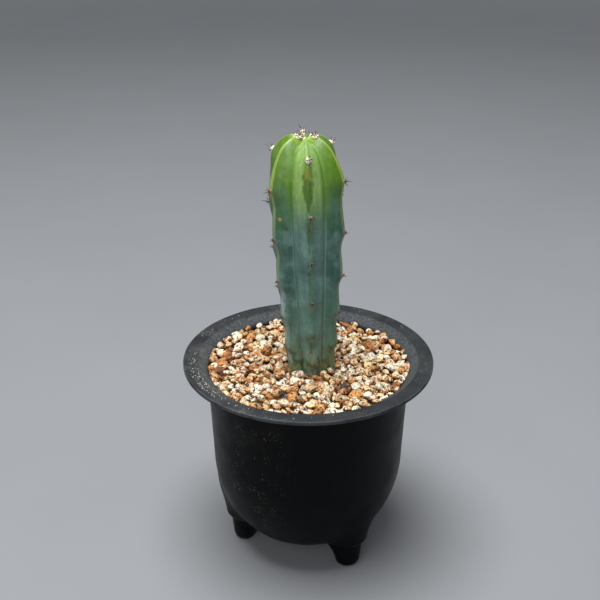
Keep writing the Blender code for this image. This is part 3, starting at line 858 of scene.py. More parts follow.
# stations run from the butt (0) to the growing point (1): gives radius and height for the crest and
# the groove line, and how far up the dome each station is
def stemLine(station):
    shape = stemShape
    domeStart = shape["height"] - shape["domeHeight"]
    buttEnd, fillEnd, sideEnd = 0.08, 0.16, 0.73  # shares of the stations
    butt = shape["buried"] * shape["buttShare"]
    turn = np.clip(station / buttEnd, 0.0, 1.0) * np.pi / 2.0
    along = np.clip((station - buttEnd) / (fillEnd - buttEnd), 0.0, 1.0)
    buried = -shape["buried"] + butt * (1.0 - np.cos(turn)) + (shape["buried"] - butt) * along
    height = buried + np.clip((station - fillEnd) / (sideEnd - fillEnd), 0.0, 1.0) * domeStart
    radius = np.where(station < buttEnd, shape["baseRadius"] * np.sin(turn), sideRadius(height))
    dome = np.clip((station - sideEnd) / (1.0 - sideEnd), 0.0, 1.0)
    power = 2.0 / shape["domePower"]
    narrow = np.clip(np.cos(dome * np.pi / 2.0), 0.0, 1.0) ** power
    rise = np.clip(np.sin(dome * np.pi / 2.0), 0.0, 1.0) ** power
    crownFloor = shape["height"] - shape["crownDip"]
    grooveTop = shape["height"] - shape["crownDip"] * shape["grooveDip"]
    lines = []
    for ratio, top in ((1.0, shape["height"]), (shape["groove"], grooveTop)):
        domeRadius = sideRadius(np.array(domeStart)) * ratio * narrow
        hollow = np.clip(1.0 - domeRadius / shape["crownRadius"], 0.0, 1.0) ** 2
        domeTop = domeStart + (top - domeStart) * rise - hollow * (top - crownFloor)
        onDome = station > sideEnd
        lines.append((np.where(onDome, domeRadius, radius * ratio), np.where(onDome, domeTop, height)))
    return lines[0], lines[1], dome


# the step under each areole, as a share of the full step, for one rib
def ribNotch(heights, height):
    spots, values = [], []
    places = [heights[0] - stemShape["firstSpace"], *heights, heights[-1] + stemShape["lastSpace"]]
    for low, high in zip(places, places[1:]):
        spots += [low, high - (high - low) * stemShape["notchShare"]]
        values += [0.0, 1.0]
    step = np.interp(height, spots, values)
    return step * step * (3.0 - 2.0 * step)


# healed marks in the skin: places from the foot of the stem, and how wide they are
skinMarks = {
    "scar": ([(-0.0124, -0.0112, 0.0787)], 0.0011),
    "bruise": ([(-0.0109, -0.0116, 0.0758), (-0.0128, -0.0108, 0.0762), (-0.0098, -0.0122, 0.0745)], 0.0013),
}

# where the wax is worn off below each areole: half the width of the streak, and its strength, for the
# spaces between areoles from the lowest up
wornStreaks = {
    "end": 0.93,
    "side": 0.0004,
    "front": [(0.0012, 0.40), (0.0012, 0.45), (0.0013, 0.50), (0.0017, 0.60), (0.0042, 1.00)],
    "others": [(0.0008, 0.45), (0.0007, 0.40), (0.0006, 0.30), (0.0005, 0.25), (0.0005, 0.15)],
}


def rubbedWax(rib, sideways, height):
    end = wornStreaks["end"]
    worn = np.zeros(len(rib))
    for number in range(stemShape["ribs"]):
        heights = areoleHeights(number)
        streaks = wornStreaks["front" if number == 0 else "others"]
        for low, high, (half, strength) in zip(heights, heights[1:], streaks):
            share = (height - low) / (high - low)
            inside = (rib == number) & (share > 0.0) & (share < end)
            spread = half * np.clip(share * 2.4 - 0.1, 0.02, 1.0) * np.clip((end - share) * 4.0, 0.0, 1.0)
            near = 1.0 - np.abs(sideways + wornStreaks["side"]) / np.maximum(spread, 1e-6)
            worn[inside] = np.maximum(worn[inside], (strength * np.clip(near, 0.0, 1.0))[inside])
    return worn


def makeStem(streaks):
    shape = stemShape
    clearSelection()
    bpy.ops.mesh.primitive_uv_sphere_add(segments=shape["sides"], ring_count=shape["rings"], radius=1.0)
    stem = bpy.context.object
    ball = readPoints(stem)
    station = 1.0 - np.arccos(np.clip(ball[:, 2], -1.0, 1.0)) / np.pi
    sector = math.tau / shape["ribs"]
    first = math.radians(-90.0 + shape["ribTurn"])
    turned = (np.arctan2(ball[:, 1], ball[:, 0]) - first) / sector
    rib = np.round(turned).astype(int) % shape["ribs"]
    offset = (turned - np.round(turned)) * sector
    half = sector / 2.0
    crestRound = math.radians(shape["crestRound"])
    eased = np.sqrt(offset**2 + crestRound**2) - crestRound
    away = np.clip(eased / (half - crestRound * 0.98), 0.0, 1.0)  # 0 on the crest, 1 in the groove
    crest, groove, dome = stemLine(station)
    notch = np.zeros(len(ball))
    for number in range(shape["ribs"]):
        mine = rib == number
        notch[mine] = ribNotch(areoleHeights(number), crest[1][mine])
    calm = (1.0 - dome) * np.clip(station * 8.0 - 1.0, 0.0, 1.0)
    crestRadius = crest[0] - shape["notch"] * notch * calm
    angle = away * half
    line = crestRadius * groove[0] * math.sin(half)
    under = crestRadius * np.sin(angle) + groove[0] * np.sin(half - angle)
    radius = line / np.maximum(under, 1e-9)
    radius = radius + shape["faceCurve"] * np.sin(away * np.pi) * (1.0 - dome)
    cut = np.exp(-(((1.0 - away) / shape["grooveWidth"]) ** 2))
    radius = radius - shape["grooveCut"] * cut * (1.0 - dome)
    height = crest[1] + (groove[1] - crest[1]) * away
    direction = first + turned * sector
    for index, turn in enumerate(direction):  # slow, uneven growth
        spot = Vector((radius[index] * math.cos(turn), radius[index] * math.sin(turn), height[index]))
        swell = noise.noise(spot * shape["wobbleScale"])
        swell += shape["ripple"] * noise.noise(spot * shape["rippleScale"])
        radius[index] += swell * shape["wobble"] * calm[index]
    points = np.stack([radius * np.cos(direction), radius * np.sin(direction), height + fillLevel], 1)
    points[:, 0] += middleAt(np.maximum(height, 0.0))
    areole = raiseSeats(points)
    writePoints(stem, points)
    share = crest[1] / shape["height"]
    # painted sheen: a pale strip on the front-left rib's crest, low on the stem
    onCrest = (rib == shape["ribs"] - 1) * np.clip((0.22 - away) * 9.0, 0.0, 1.0)
    window = np.clip((share - 0.03) * 20.0, 0.0, 1.0) * np.clip((0.44 - share) * 9.0, 0.0, 1.0)
    out = np.hypot(points[:, 0] - middleAt(shape["height"]), points[:, 1])
    values = {
        "away": away,
        "height": np.clip(height / shape["height"], -0.2, 1.0),
        "areole": np.clip(areole / 0.01, 0.0, 1.0),
        "rib": rib / shape["ribs"],
        "rub": rubbedWax(rib, offset * crest[0], crest[1]),
        "crestSheen": onCrest * window,
        "crown": (share > 0.8) * np.clip(1.0 - out / shape["crownRadius"], 0.0, 1.0),
    }
    for kind, (spots, size) in skinMarks.items():
        values[kind] = np.zeros(len(points))
        for spot in spots:
            gap = np.linalg.norm(points - (np.array(spot) + (0.0, 0.0, fillLevel)), axis=1)
            values[kind] = np.maximum(values[kind], np.exp(-((gap / size) ** 2)))
    for name, value in values.items():
        writeValue(stem, name, value)
    faceOut(stem)
    stem = joinPieces([stem, *makeRoots()], "cactusStem")
    smoothShade(stem, 60.0)
    give(stem, "cactus_skin", skinMaterial(streaks))
    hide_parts("cactus_stem")
    print("stem made", len(stem.data.polygons))
    return stem


# lifts the skin a little under every areole, and returns each point's distance to the nearest one
def raiseSeats(points):
    shape = stemShape
    nearest = np.full(len(points), 1.0)
    for rib in range(shape["ribs"]):
        for number in range(areolesPerRib):
            centre = np.array(nodeCentre(tuftNode(rib, number)))
            core = np.array([middleAt(centre[2] - fillLevel), 0.0, centre[2] - shape["seatBelow"]])
            outward = (centre - core) / np.linalg.norm(centre - core)
            gap = np.linalg.norm(points - (centre - outward * shape["seatDepth"]), axis=1)
            nearest = np.minimum(nearest, gap)
            points += outward * (shape["seat"] * np.exp(-((gap / shape["seatReach"]) ** 2)))[:, None]
    return nearest


rootShape = {
    "count": 5,
    "steps": 8,
    "length": 0.0300,
    "radius": 0.0016,
    "tip": 0.0005,
    "spread": 52.0,
    "from": (0.35, 0.85),
    "values": {"away": 0.5, "height": -0.2, "areole": 1.0},
}


def makeRoots():
    shape = rootShape
    roots = []
    outShare, downShare = shape["from"]
    for number in range(shape["count"]):
        angle = math.tau * (number + 0.5) / shape["count"]
        outward = Vector((math.cos(angle), math.sin(angle), 0.0))
        centre = Vector((stemShape["side"], 0.0, fillLevel - stemShape["buried"] * downShare))
        point = centre + outward * stemShape["baseRadius"] * outShare
        curve = bpy.data.curves.new(f"root{number}", "CURVE")
        curve.dimensions = "3D"
        curve.bevel_depth = 1.0
        curve.bevel_resolution = 1
        curve.use_fill_caps = True
        spline = curve.splines.new("POLY")
        spline.points.add(shape["steps"])
        for step, spot in enumerate(spline.points):
            share = step / shape["steps"]
            spot.co = (*point, 1.0)
            spot.radius = between(shape["radius"], shape["tip"], share)
            tilt = math.radians(shape["spread"]) * (1.0 - 0.7 * share)
            run = outward * math.sin(tilt) - Vector((0.0, 0.0, math.cos(tilt)))
            point = point + run * (shape["length"] / shape["steps"])
        root = bpy.data.objects.new(f"root{number}", curve)
        linkPiece(root)
        makeActive(root)
        bpy.ops.object.convert(target="MESH")
        root = bpy.context.object
        faceOut(root)
        for name in ("away", "height", "areole", "rib", "rub", "crestSheen", "crown", *skinMarks):
            writeValue(root, name, np.full(len(root.data.vertices), shape["values"].get(name, 0.0)))
        roots.append(root)
    return roots


skinLook = {
    "foot": (86, 104, 66),
    "low": (84, 118, 98),
    "middle": (48, 84, 77),
    "aged": (48, 86, 68),
    "upper": (58, 100, 54),
    "young": (77, 112, 20),
    "crown": (150, 176, 60),
    "bloom": (112, 144, 136),
    "youngFlank": (148, 181, 106),
    # painted sheen colour for the lower front-left crest
    "crestSheen": (158, 172, 178),
    "rubbed": (58, 86, 20),
    "rubbedLight": (112, 124, 30),
    "stain": (38, 58, 20),
    "scar": (196, 128, 76),
    # painted highlight colours for the rib crests, young and old
    "crest": (140, 160, 76),
    "crestHighlightOld": (122, 140, 108),
    # painted shade colour for the groove bottom on older parts
    "crease": (48, 66, 48),
    "youngCrease": (84, 124, 26),
    "cork": (112, 98, 50),
    "speck": (112, 70, 46),
    "roughness": 0.46,
}


def skinMaterial(streaks):
    look = skinLook
    material, tree = newMaterial("cactusSkin")
    place = objectPlaces(tree)
    height, away = carried(tree, "height"), carried(tree, "away")
    areole, rib = carried(tree, "areole"), carried(tree, "rib")
    drift = cloud(place, 55.0, 4.0, 0.6)
    level = calc("ADD", height, timesPlus(drift, 0.20, -0.10))
    stops = ((0.0, "foot"), (0.12, "low"), (0.45, "middle"), (0.63, "aged"), (0.73, "upper"), (0.85, "young"))
    base = ramp(level, [(spot, look[name]) for spot, name in stops])
    base = mixColor(carried(tree, "crown"), base, look["crown"])
    veil = fade(cloud(place, 130.0, 5.0, 0.62), 0.40, 0.70)
    aged = fade(height, 0.50, 0.90, 0.60, 0.08)
    color = mixColor(times(veil, aged), base, look["bloom"])
    frontRib = fade(rib, 0.02, 0.06, 1.0, 0.0)
    flank = times(fade(away, 0.0, 0.22, 0.5, 1.0), fade(height, 0.45, 0.75, 0.45, 0.85))
    old = fade(height, 0.62, 0.82, 1.0, 0.0)
    flankTone = mixColor(old, look["youngFlank"], look["bloom"])
    color = mixColor(times(frontRib, times(flank, 0.70)), color, flankTone)
    lines = useGroup(tree, streaks, Vector=place)
    streak = fade(lines["Mask"], 0.30, 0.70, 0.84, 1.14)
    color = mixColor(1.0, color, streak, "MULTIPLY")
    mottle = fade(cloud(place, 620.0, 4.0, 0.7), 0.32, 0.68, 0.90, 1.10)
    color = mixColor(1.0, color, mottle, "MULTIPLY")
    # painted highlight: a lighter line along the rib crests, strong on the side ribs and faint on the front
    # rib, broken up in patches
    crestHighlight = times(fade(away, 0.02, 0.085, 1.0, 0.0), fade(rib, 0.02, 0.06, 0.04, 0.85))
    patch = cloud(stretched(place, 1.0, 1.0, 0.35), 120.0, 3.0)
    patch = fade(patch, 0.30, 0.55, 0.55, 1.0)
    crestHighlightTone = mixColor(old, look["crest"], look["crestHighlightOld"])
    color = mixColor(times(crestHighlight, patch), color, crestHighlightTone)
    ragged = cloud(stretched(place, 1.0, 1.0, 0.50), 420.0, 5.0, 0.7)
    worn = timesPlus(ragged, 1.7, calc("SUBTRACT", carried(tree, "rub"), 0.85))
    rub = fade(worn, 0.16, 0.62, 0.0, 0.85)
    warm = timesPlus(cloud(place, 300.0, 3.0), 1.6, fade(height, 0.80, 0.90, -1.0, -0.2))
    rubTone = mixColor(fade(warm, 0.20, 0.50), look["rubbed"], look["rubbedLight"])
    color = mixColor(rub, color, rubTone)
    pale = times(fade(away, 0.86, 0.95), old, 0.60)
    color = mixColor(pale, color, look["bloom"])
    young = mixColor(fade(away, 0.55, 1.0, 0.0, 0.75), color, look["youngCrease"])
    color = mixColor(old, young, color)
    # painted shade: on older parts the bottom of each groove is painted darker; near the growing point it
    # takes the young yellow-green instead
    crease = fade(away, 0.955, 0.99, 0.0, 0.48)
    creaseTone = mixColor(old, look["youngCrease"], look["crease"])
    color = mixColor(crease, color, creaseTone)
    seat = fade(areole, 0.09, 0.22, 0.60, 0.0)
    color = mixColor(times(seat, old), color, look["rubbed"])
    footMask = fade(height, 0.03, 0.22, 1.0, 0.0)
    corkNoise = fade(cloud(place, 210.0, 5.0, 0.7), 0.45, 0.60)
    cork = times(footMask, corkNoise, 0.75)
    color = mixColor(cork, color, look["cork"])
    stainNoise = cloud(stretched(place, 1.0, 1.0, 0.6), 250.0, 6.0, 0.75)
    stainNoise = fade(stainNoise, 0.49, 0.60)
    stain = times(fade(height, 0.05, 0.24, 1.0, 0.0), stainNoise, 0.80)
    color = mixColor(stain, color, look["stain"])
    # painted sheen: pale bluish grey in patches on the lower front-left crest
    sheenPatches = cloud(stretched(place, 1.0, 1.0, 0.5), 420.0, 5.0, 0.75)
    sheenPatches = fade(sheenPatches, 0.40, 0.58, 0.10, 0.70)
    color = mixColor(times(carried(tree, "crestSheen"), sheenPatches), color, look["crestSheen"])
    color = mixColor(fade(carried(tree, "bruise"), 0.25, 0.85, 0.0, 0.75), color, look["stain"])
    color = mixColor(fade(carried(tree, "scar"), 0.30, 0.55, 0.0, 0.95), color, look["scar"])
    cells = addNode(tree, "TexVoronoi", Vector=place, Scale=330.0).outputs["Distance"]
    dots = fade(cells, 0.06, 0.12, 1.0, 0.0)
    few = fade(cloud(place, 90.0, 2.0), 0.56, 0.66)
    speck = times(dots, few, 0.75)
    color = mixColor(speck, color, look["speck"])
    rough = fade(veil, 0.0, 1.0, look["roughness"] - 0.07, look["roughness"] + 0.12)
    rough = timesPlus(rub, -0.08, rough)
    fine = cloud(place, 1500.0, 3.0, 0.6)
    relief = timesPlus(cork, -1.2, timesPlus(lines["Mask"], 0.8, fine))
    return finished(material, color, rough, relief, 0.00015, 0.5)


tuftAges = {
    "newest": {"pad": 0.00125, "lift": 0.62, "spines": 5, "length": 0.0030, "hairs": 34},
    "young": {"pad": 0.00085, "lift": 0.55, "spines": 5, "length": 0.0032, "hairs": 14},
    "grown": {"pad": 0.00072, "lift": 0.50, "spines": 5, "length": 0.0017, "hairs": 10},
    "old": {"pad": 0.00058, "lift": 0.42, "spines": 3, "length": 0.0008, "hairs": 6},
}
spineShape = {
    "kinds": 2,
    "sides": 6,
    "width": 0.00024,
    "outline": [(0.7, 0.0), (1.0, 0.12), (0.62, 0.6), (0.10, 1.0)],
    "middleLonger": 1.25,
    "foot": 0.15,
    "hairSides": 3,
    "hairWidth": 0.00007,
    "hairOutline": [(1.0, 0.0), (0.7, 0.5), (0.15, 1.0)],
}
tuftOrder = ("old", "old", "grown", "grown", "young", "newest")  # from the lowest areole up


def makeTuft(age, chance, wool, spineFinish):
    values, shape = tuftAges[age], spineShape
    clearSelection()
    bpy.ops.mesh.primitive_uv_sphere_add(segments=14, ring_count=9, radius=values["pad"])
    pad = bpy.context.object
    openMesh(pad)
    bpy.ops.transform.resize(value=(1.0, 1.15, values["lift"]), center_override=(0.0, 0.0, 0.0))
    bpy.ops.transform.vertex_random(offset=values["pad"] * 0.16, seed=chance.randrange(1000))
    closeMesh()
    pad.data.materials.append(wool)
    writeValue(pad, "tip", np.full(len(pad.data.vertices), 0.5))
    bristle = turnOutline("bristle", shape["outline"], shape["sides"])
    hair = turnOutline("hair", shape["hairOutline"], shape["hairSides"])
    for strand in (bristle, hair):
        writeValue(strand, "tip", readPoints(strand)[:, 2])
    parts = [pad]
    foot = Matrix.Translation((0.0, 0.0, values["pad"] * shape["foot"]))
    for number in range(values["spines"]):
        middle = number == 0
        turn = math.tau * (number + chance.uniform(-0.25, 0.25)) / max(values["spines"] - 1, 1)
        tilt = chance.uniform(0.0, 0.15) if middle else chance.uniform(0.85, 1.15)
        length = values["length"] * (shape["middleLonger"] if middle else chance.uniform(0.6, 1.0))
        parts.append(setStrand(bristle, shape["width"], length, turn, tilt, foot, spineFinish))
    for _ in range(values["hairs"]):
        turn = chance.uniform(0.0, math.tau)
        tilt = chance.uniform(0.2, 1.4)
        length = values["pad"] * chance.uniform(1.1, 1.6)
        parts.append(setStrand(hair, shape["hairWidth"], length, turn, tilt, Matrix.Identity(4), wool))
    removePiece(bristle)
    removePiece(hair)
    tuft = joinPieces(parts, f"{age}Tuft")
    smoothShade(tuft, 50.0)
    return tuft


def setStrand(pattern, width, length, turn, tilt, foot, finish):
    size = Matrix.Diagonal((width, width, length, 1.0))
    spin = Matrix.Rotation(turn, 4, "Z") @ Matrix.Rotation(tilt, 4, "Y")
    strand = copyPiece(pattern, "strand", foot @ spin @ size)
    strand.data.materials.append(finish)
    return strand


def makeTufts(stem):
    chance = random.Random(5)
    spineFinish = spineMaterial()
    patterns = {}
    for age in tuftAges:
        wool = woolMaterial(age)
        patterns[age] = [makeTuft(age, chance, wool, spineFinish) for _ in range(spineShape["kinds"])]
    for rib in range(stemShape["ribs"]):
        for number in range(areolesPerRib):
            node = tuftNode(rib, number)
            _, spot, normal, _ = stem.closest_point_on_mesh(nodeCentre(node))
            axis = Vector((-normal.y, normal.x, 0.0)).normalized()
            upward = normal.cross(axis).normalized()
            turn = Matrix((axis, upward, normal)).transposed().to_4x4()
            spin = Matrix.Rotation(chance.uniform(-0.4, 0.4), 4, "Z")
            pattern = patterns[tuftOrder[number]][(rib + number) % spineShape["kinds"]]
            name = node.replace("spines", "tuft")
            tuft = copyPiece(pattern, name, Matrix.Translation(spot) @ turn @ spin)
            give(tuft, "spines")
            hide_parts(node)
    makeCrownTufts(stem, patterns["newest"], chance)
    for pattern in sum(patterns.values(), []):
        removePiece(pattern)
    print("tufts made")


crownTufts = {"reach": 0.0040, "size": 0.62, "above": 0.01}


# areoles only just formed round the growing point
def makeCrownTufts(stem, patterns, chance):
    ribs, height = stemShape["ribs"], stemShape["height"]
    top = fillLevel + height + crownTufts["above"]
    size = Matrix.Scale(crownTufts["size"], 4)
    tufts = []
    for rib in range(ribs):
        angle = math.radians(stemShape["ribTurn"]) + math.tau * (rib + chance.uniform(-0.1, 0.1)) / ribs
        reach = crownTufts["reach"] * chance.uniform(0.85, 1.1)
        above = Vector((middleAt(height) + reach * math.sin(angle), -reach * math.cos(angle), top))
        _, spot, normal, _ = stem.ray_cast(above, Vector((0.0, 0.0, -1.0)))
        turn = Vector((0.0, 0.0, 1.0)).rotation_difference(normal).to_matrix().to_4x4()
        spin = Matrix.Rotation(chance.uniform(0.0, math.tau), 4, "Z")
        place = Matrix.Translation(spot) @ turn @ spin @ size
        tufts.append(copyPiece(patterns[rib % len(patterns)], "crownTuft", place))
    give(joinPieces(tufts, "crownTufts"), "spines")


woolLook = {
    "newest": ((246, 240, 226), (204, 168, 146)),
    "young": ((190, 150, 126), (122, 76, 62)),
    "grown": ((182, 140, 116), (116, 72, 58)),
    "old": ((150, 112, 92), (92, 56, 46)),
    "spineFoot": (112, 58, 44),
    "spine": (60, 24, 22),
    "spineTip": (15, 10, 11),
}


def woolMaterial(age):
    wool, shade = woolLook[age]
    material, tree = newMaterial(f"{age}Wool")
    fluff = cloud(objectPlaces(tree), 1600.0, 4.0, 0.7)
    mixed = mixColor(fade(fluff, 0.35, 0.65), shade, wool)
    return finished(material, mixed, 0.95, fluff, 0.0002, 0.9)


def spineMaterial():
    material, tree = newMaterial("spine")
    patchy = cloud(objectPlaces(tree), 900.0, 2.0)
    along = timesPlus(patchy, 0.3, calc("SUBTRACT", carried(tree, "tip"), 0.15))
    stops = ((0.0, "spineFoot"), (0.25, "spine"), (0.85, "spineTip"))
    color = ramp(along, [(spot, woolLook[name]) for spot, name in stops])
    return finished(material, color, fade(patchy, 0.3, 0.7, 0.42, 0.60))


gravelShape = {
    "kinds": 9,
    "grains": 1500,
    "tries": 7,
    "smallest": 0.0016,
    "largest": 0.0036,
    "depth": 0.0074,
    "overlap": 0.84,
    "sizePower": 1.35,
    "reach": 0.0505,
    "stoneShare": 0.92,
    "stemGap": 0.55,
    "wallShare": 0.42,
    "bodyTop": 0.0070,
    "lipLow": 0.0062,
    "lipOut": 0.85,
    "proudest": 0.0012,
    "offset": 0.24,
    "sides": 8,
    "broken": (0.48, 0.78),
    "wallGap": 0.0002,
    "lipSlope": 0.6,
    "crown": 0.0007,
    "giveUp": 260,
    "flatAngle": 9.0,
    "seed": 21,
}
stoneNodes = sorted(name for name in frame["nodes"] if name.startswith("stone_"))


def stemReach(x, y, margin):
    dx, dy = x - stemShape["side"], y
    angle = math.atan2(dy, dx) - math.radians(-90.0 + stemShape["ribTurn"])
    sector = math.tau / stemShape["ribs"]
    offset = abs((angle / sector) - round(angle / sector)) * sector
    crest = stemShape["baseRadius"]
    low = crest * stemShape["groove"]
    half = sector / 2.0
    edge = crest * low * math.sin(half) / (crest * math.sin(offset) + low * math.sin(half - offset))
    return math.hypot(dx, dy) - edge - margin


def makeGrainPattern(number, chance):
    shape = gravelShape
    grain = startBall(f"grain{number}", 2)
    openMesh(grain)
    bpy.ops.transform.vertex_random(offset=shape["offset"], seed=chance.randrange(1000))
    breakSides(grain, chance, shape["sides"], *shape["broken"])
    stretch = (chance.uniform(1.1, 1.5), chance.uniform(0.85, 1.15), chance.uniform(0.75, 1.0))
    bpy.ops.mesh.select_all(action="SELECT")
    bpy.ops.transform.resize(value=stretch, center_override=(0.0, 0.0, 0.0))
    # each flat side becomes one face
    bpy.ops.mesh.dissolve_limited(angle_limit=math.radians(shape["flatAngle"]))
    closeMesh()
    return grain


# presses what lies past a plane back onto it, which leaves a flat side; the mesh stays open
def breakSides(piece, chance, count, nearest, furthest):
    for _ in range(count):
        normal = Vector([chance.uniform(-1, 1) for _ in range(3)]).normalized()
        reach = chance.uniform(nearest, furthest)
        closeMesh()
        points = readPoints(piece)
        past = points @ np.array(normal) - reach
        points -= np.clip(past, 0.0, None)[:, None] * np.array(normal)
        writePoints(piece, points)
        openMesh(piece)


def layGrains(chance):
    shape = gravelShape
    placed = []
    for node in stoneNodes:
        low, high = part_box(node)
        size = high - low
        placed.append((*nodeCentre(node), (size.x + size.y) / 4.0 * shape["stoneShare"]))
    stones = len(placed)
    missed = 0
    while len(placed) < shape["grains"] + stones and missed < shape["giveUp"]:
        radius = between(shape["smallest"], shape["largest"], chance.random() ** shape["sizePower"])
        known = np.array(placed)
        tries = [tryPlace(chance, radius, known) for _ in range(shape["tries"])]
        best = min((spot for spot in tries if spot), key=lambda spot: spot[2], default=None)
        if best is None or best[2] + radius * 0.55 > grainLimit(best):
            missed += 1
            continue
        placed.append(best)
        missed = 0
    return placed[stones:]


def grainLimit(spot):
    share = math.hypot(spot[0], spot[1]) / potShape["bodyRadius"]
    return fillLevel + gravelShape["crown"] * (1.0 - share**2) + gravelShape["proudest"]


# drops a grain of this size at a chance spot: it comes to rest on the floor or on the grains below
def tryPlace(chance, radius, known):
    shape = gravelShape
    angle = chance.uniform(0.0, math.tau)
    out = math.sqrt(chance.random()) * shape["reach"]
    x, y = out * math.cos(angle), out * math.sin(angle)
    if stemReach(x, y, radius * shape["stemGap"]) < 0.0:
        return None
    flat = np.hypot(known[:, 0] - x, known[:, 1] - y)
    contact = (known[:, 3] + radius) * shape["overlap"]
    touching = flat < contact
    z = fillLevel - shape["depth"] + radius * 0.5
    if touching.any():
        above = np.sqrt(contact[touching] ** 2 - flat[touching] ** 2)
        z = max(z, float((known[touching, 2] + above).max()))
    wall = float(innerRadiusAt(min(z, potTop - shape["bodyTop"])))
    wall += max(0.0, z - (potTop - shape["lipLow"])) * shape["lipOut"]
    if out + radius * shape["wallShare"] > wall:
        return None
    return x, y, z, radius


def makeGravel(porous):
    chance = random.Random(gravelShape["seed"])
    patterns = [makeGrainPattern(number, chance) for number in range(gravelShape["kinds"])]
    grains = []
    for x, y, z, radius in layGrains(chance):
        pattern = patterns[chance.randrange(len(patterns))]
        turn = Matrix.Rotation(chance.uniform(0, math.tau), 4, "Z")
        tilt = Matrix.Rotation(chance.uniform(-0.9, 0.9), 4, "X")
        size = Matrix.Diagonal((radius, radius, radius, 1.0))
        grain = copyPiece(pattern, "grain", Matrix.Translation((x, y, z)) @ turn @ tilt @ size)
        for name in ("tint", "shade"):
            writeValue(grain, name, np.full(len(grain.data.vertices), chance.random()))
        # rise: height on the grain, about -1 under it to 1 on top, used for painted shade
        writeValue(grain, "rise", (readPoints(grain)[:, 2] - z) / radius)
        grains.append(grain)
    total = len(grains)
    for pattern in patterns:
        removePiece(pattern)
    gravel = joinPieces(grains, "pumiceGravel")
    keepInside(gravel)
    smoothShade(gravel, 12.0)
    give(gravel, "pumice", gravelMaterial(porous))
    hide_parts("pumice_layer")
    makeBed()
    print("gravel laid", total)


# no grain reaches into the pot's wall or its sloping lip
def keepInside(gravel):
    points = readPoints(gravel)
    lipFoot = potTop - potShape["lipDrop"] - potShape["lipBlend"]
    limit = innerRadiusAt(np.minimum(points[:, 2], lipFoot), gravelShape["wallGap"])
    limit = limit + np.clip(points[:, 2] - lipFoot, 0.0, None) * gravelShape["lipSlope"]
    out = np.hypot(points[:, 0], points[:, 1])
    points[:, :2] *= np.minimum(1.0, limit / np.maximum(out, 1e-6))[:, None]
    writePoints(gravel, points)


gravelTints = [
    (0.00, (250, 238, 212)), (0.26, (242, 218, 176)), (0.52, (234, 202, 150)), (0.70, (250, 236, 210)),
    (0.84, (220, 166, 104)), (0.90, (192, 132, 82)), (0.95, (142, 96, 62)), (0.985, (66, 60, 54)),
]


def gravelMaterial(porous):
    material, tree = newMaterial("pumiceGrains")
    shade = carried(tree, "shade")
    base = ramp(carried(tree, "tint"), gravelTints, "CONSTANT")
    # painted shade: each grain darkens towards its underside by rise, and its lower sides take more orange
    # stain as painted warm shade; the per-grain shade value is a random tone
    lifted = calc("ADD", carried(tree, "rise"), -0.3)
    rise = timesPlus(cloud(objectPlaces(tree), 600.0, 2.0), 0.6, lifted)
    level = times(fade(shade, 0.0, 1.0, 0.82, 1.12), fade(rise, -0.30, 0.20, 0.03, 1.0))
    toneAndPaintedShade = mixColor(1.0, base, level, "MULTIPLY")
    low = fade(rise, 0.0, 0.40, 0.35, 0.0)
    amount = calc("ADD", fade(shade, 0.0, 1.0, 0.66, 0.30), low)
    surface = {
        "Color": toneAndPaintedShade,
        "Stain": tone(208, 130, 54),
        "Stain Amount": amount,
        "Pit Scale": 760.0,
        "Pit Shade": 0.92,
    }
    return porousFinish(material, porous, surface, (0.82, 0.97), (0.0009, 1.0))


def porousFinish(material, porous, surface, roughs, bump):
    tree = material.node_tree
    stone = useGroup(tree, porous, Vector=objectPlaces(tree), **surface)
    return finished(material, stone["Color"], fade(stone["Pits"], 0.0, 1.0, *roughs), stone["Height"], *bump)


bedShape = {
    "sides": 96,
    "drop": 0.0046,
    "rough": 0.0010,
    "roughScale": 420.0,
    "gap": 0.0003,
    "edge": 0.0006,
    "footEdge": 0.0004,
    "footShare": 0.985,
    "holeSides": 48,
    "holeBelow": 0.002,
    "holeAbove": 0.004,
}
# colours of the fines, kept near-black brown as painted shade down the gaps
finesAndGapShadeLook = {
    "noise": (900.0, 4.0, 0.7),
    "colors": [(0.3, (22, 15, 10)), (0.55, (58, 38, 24)), (0.8, (120, 86, 54))],
    "roughness": (0.85, 1.0),
    "bump": (0.0006, 1.0),
}


# the imported fines below the loose grains, seen only down the gaps; their near-black brown is painted shade
# for the gaps between grains
def makeBed():
    shape = bedShape
    top = fillLevel - shape["drop"]
    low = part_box("pumice_layer")[0].z
    edge = float(innerRadiusAt(top, shape["gap"]))
    outline = [(edge * shape["footShare"], low), (edge, low + shape["footEdge"]), (edge, top - shape["edge"])]
    outline += [(edge * share, top) for share in spaced(0.99, 0.10, 22)]
    bed = turnOutline("pumiceFinesAndGapShade", outline, shape["sides"])
    points = readPoints(bed)
    for index, point in enumerate(points):
        if point[2] > top - shape["edge"] / 3.0:
            points[index, 2] += noise.noise(Vector(point) * shape["roughScale"]) * shape["rough"]
    writePoints(bed, points)
    hole = stemShape["baseRadius"] + shape["gap"]
    holeOutline = [(hole, low - shape["holeBelow"]), (hole, top + shape["holeAbove"])]
    plug = turnOutline("stemHole", holeOutline, shape["holeSides"], (stemShape["side"], 0.0))
    cutOrJoin(bed, plug, "DIFFERENCE")
    faceOut(bed)
    smoothShade(bed, 40.0)
    give(bed, "pumice", grittyMaterial("pumiceFinesAndGapShade", finesAndGapShadeLook))


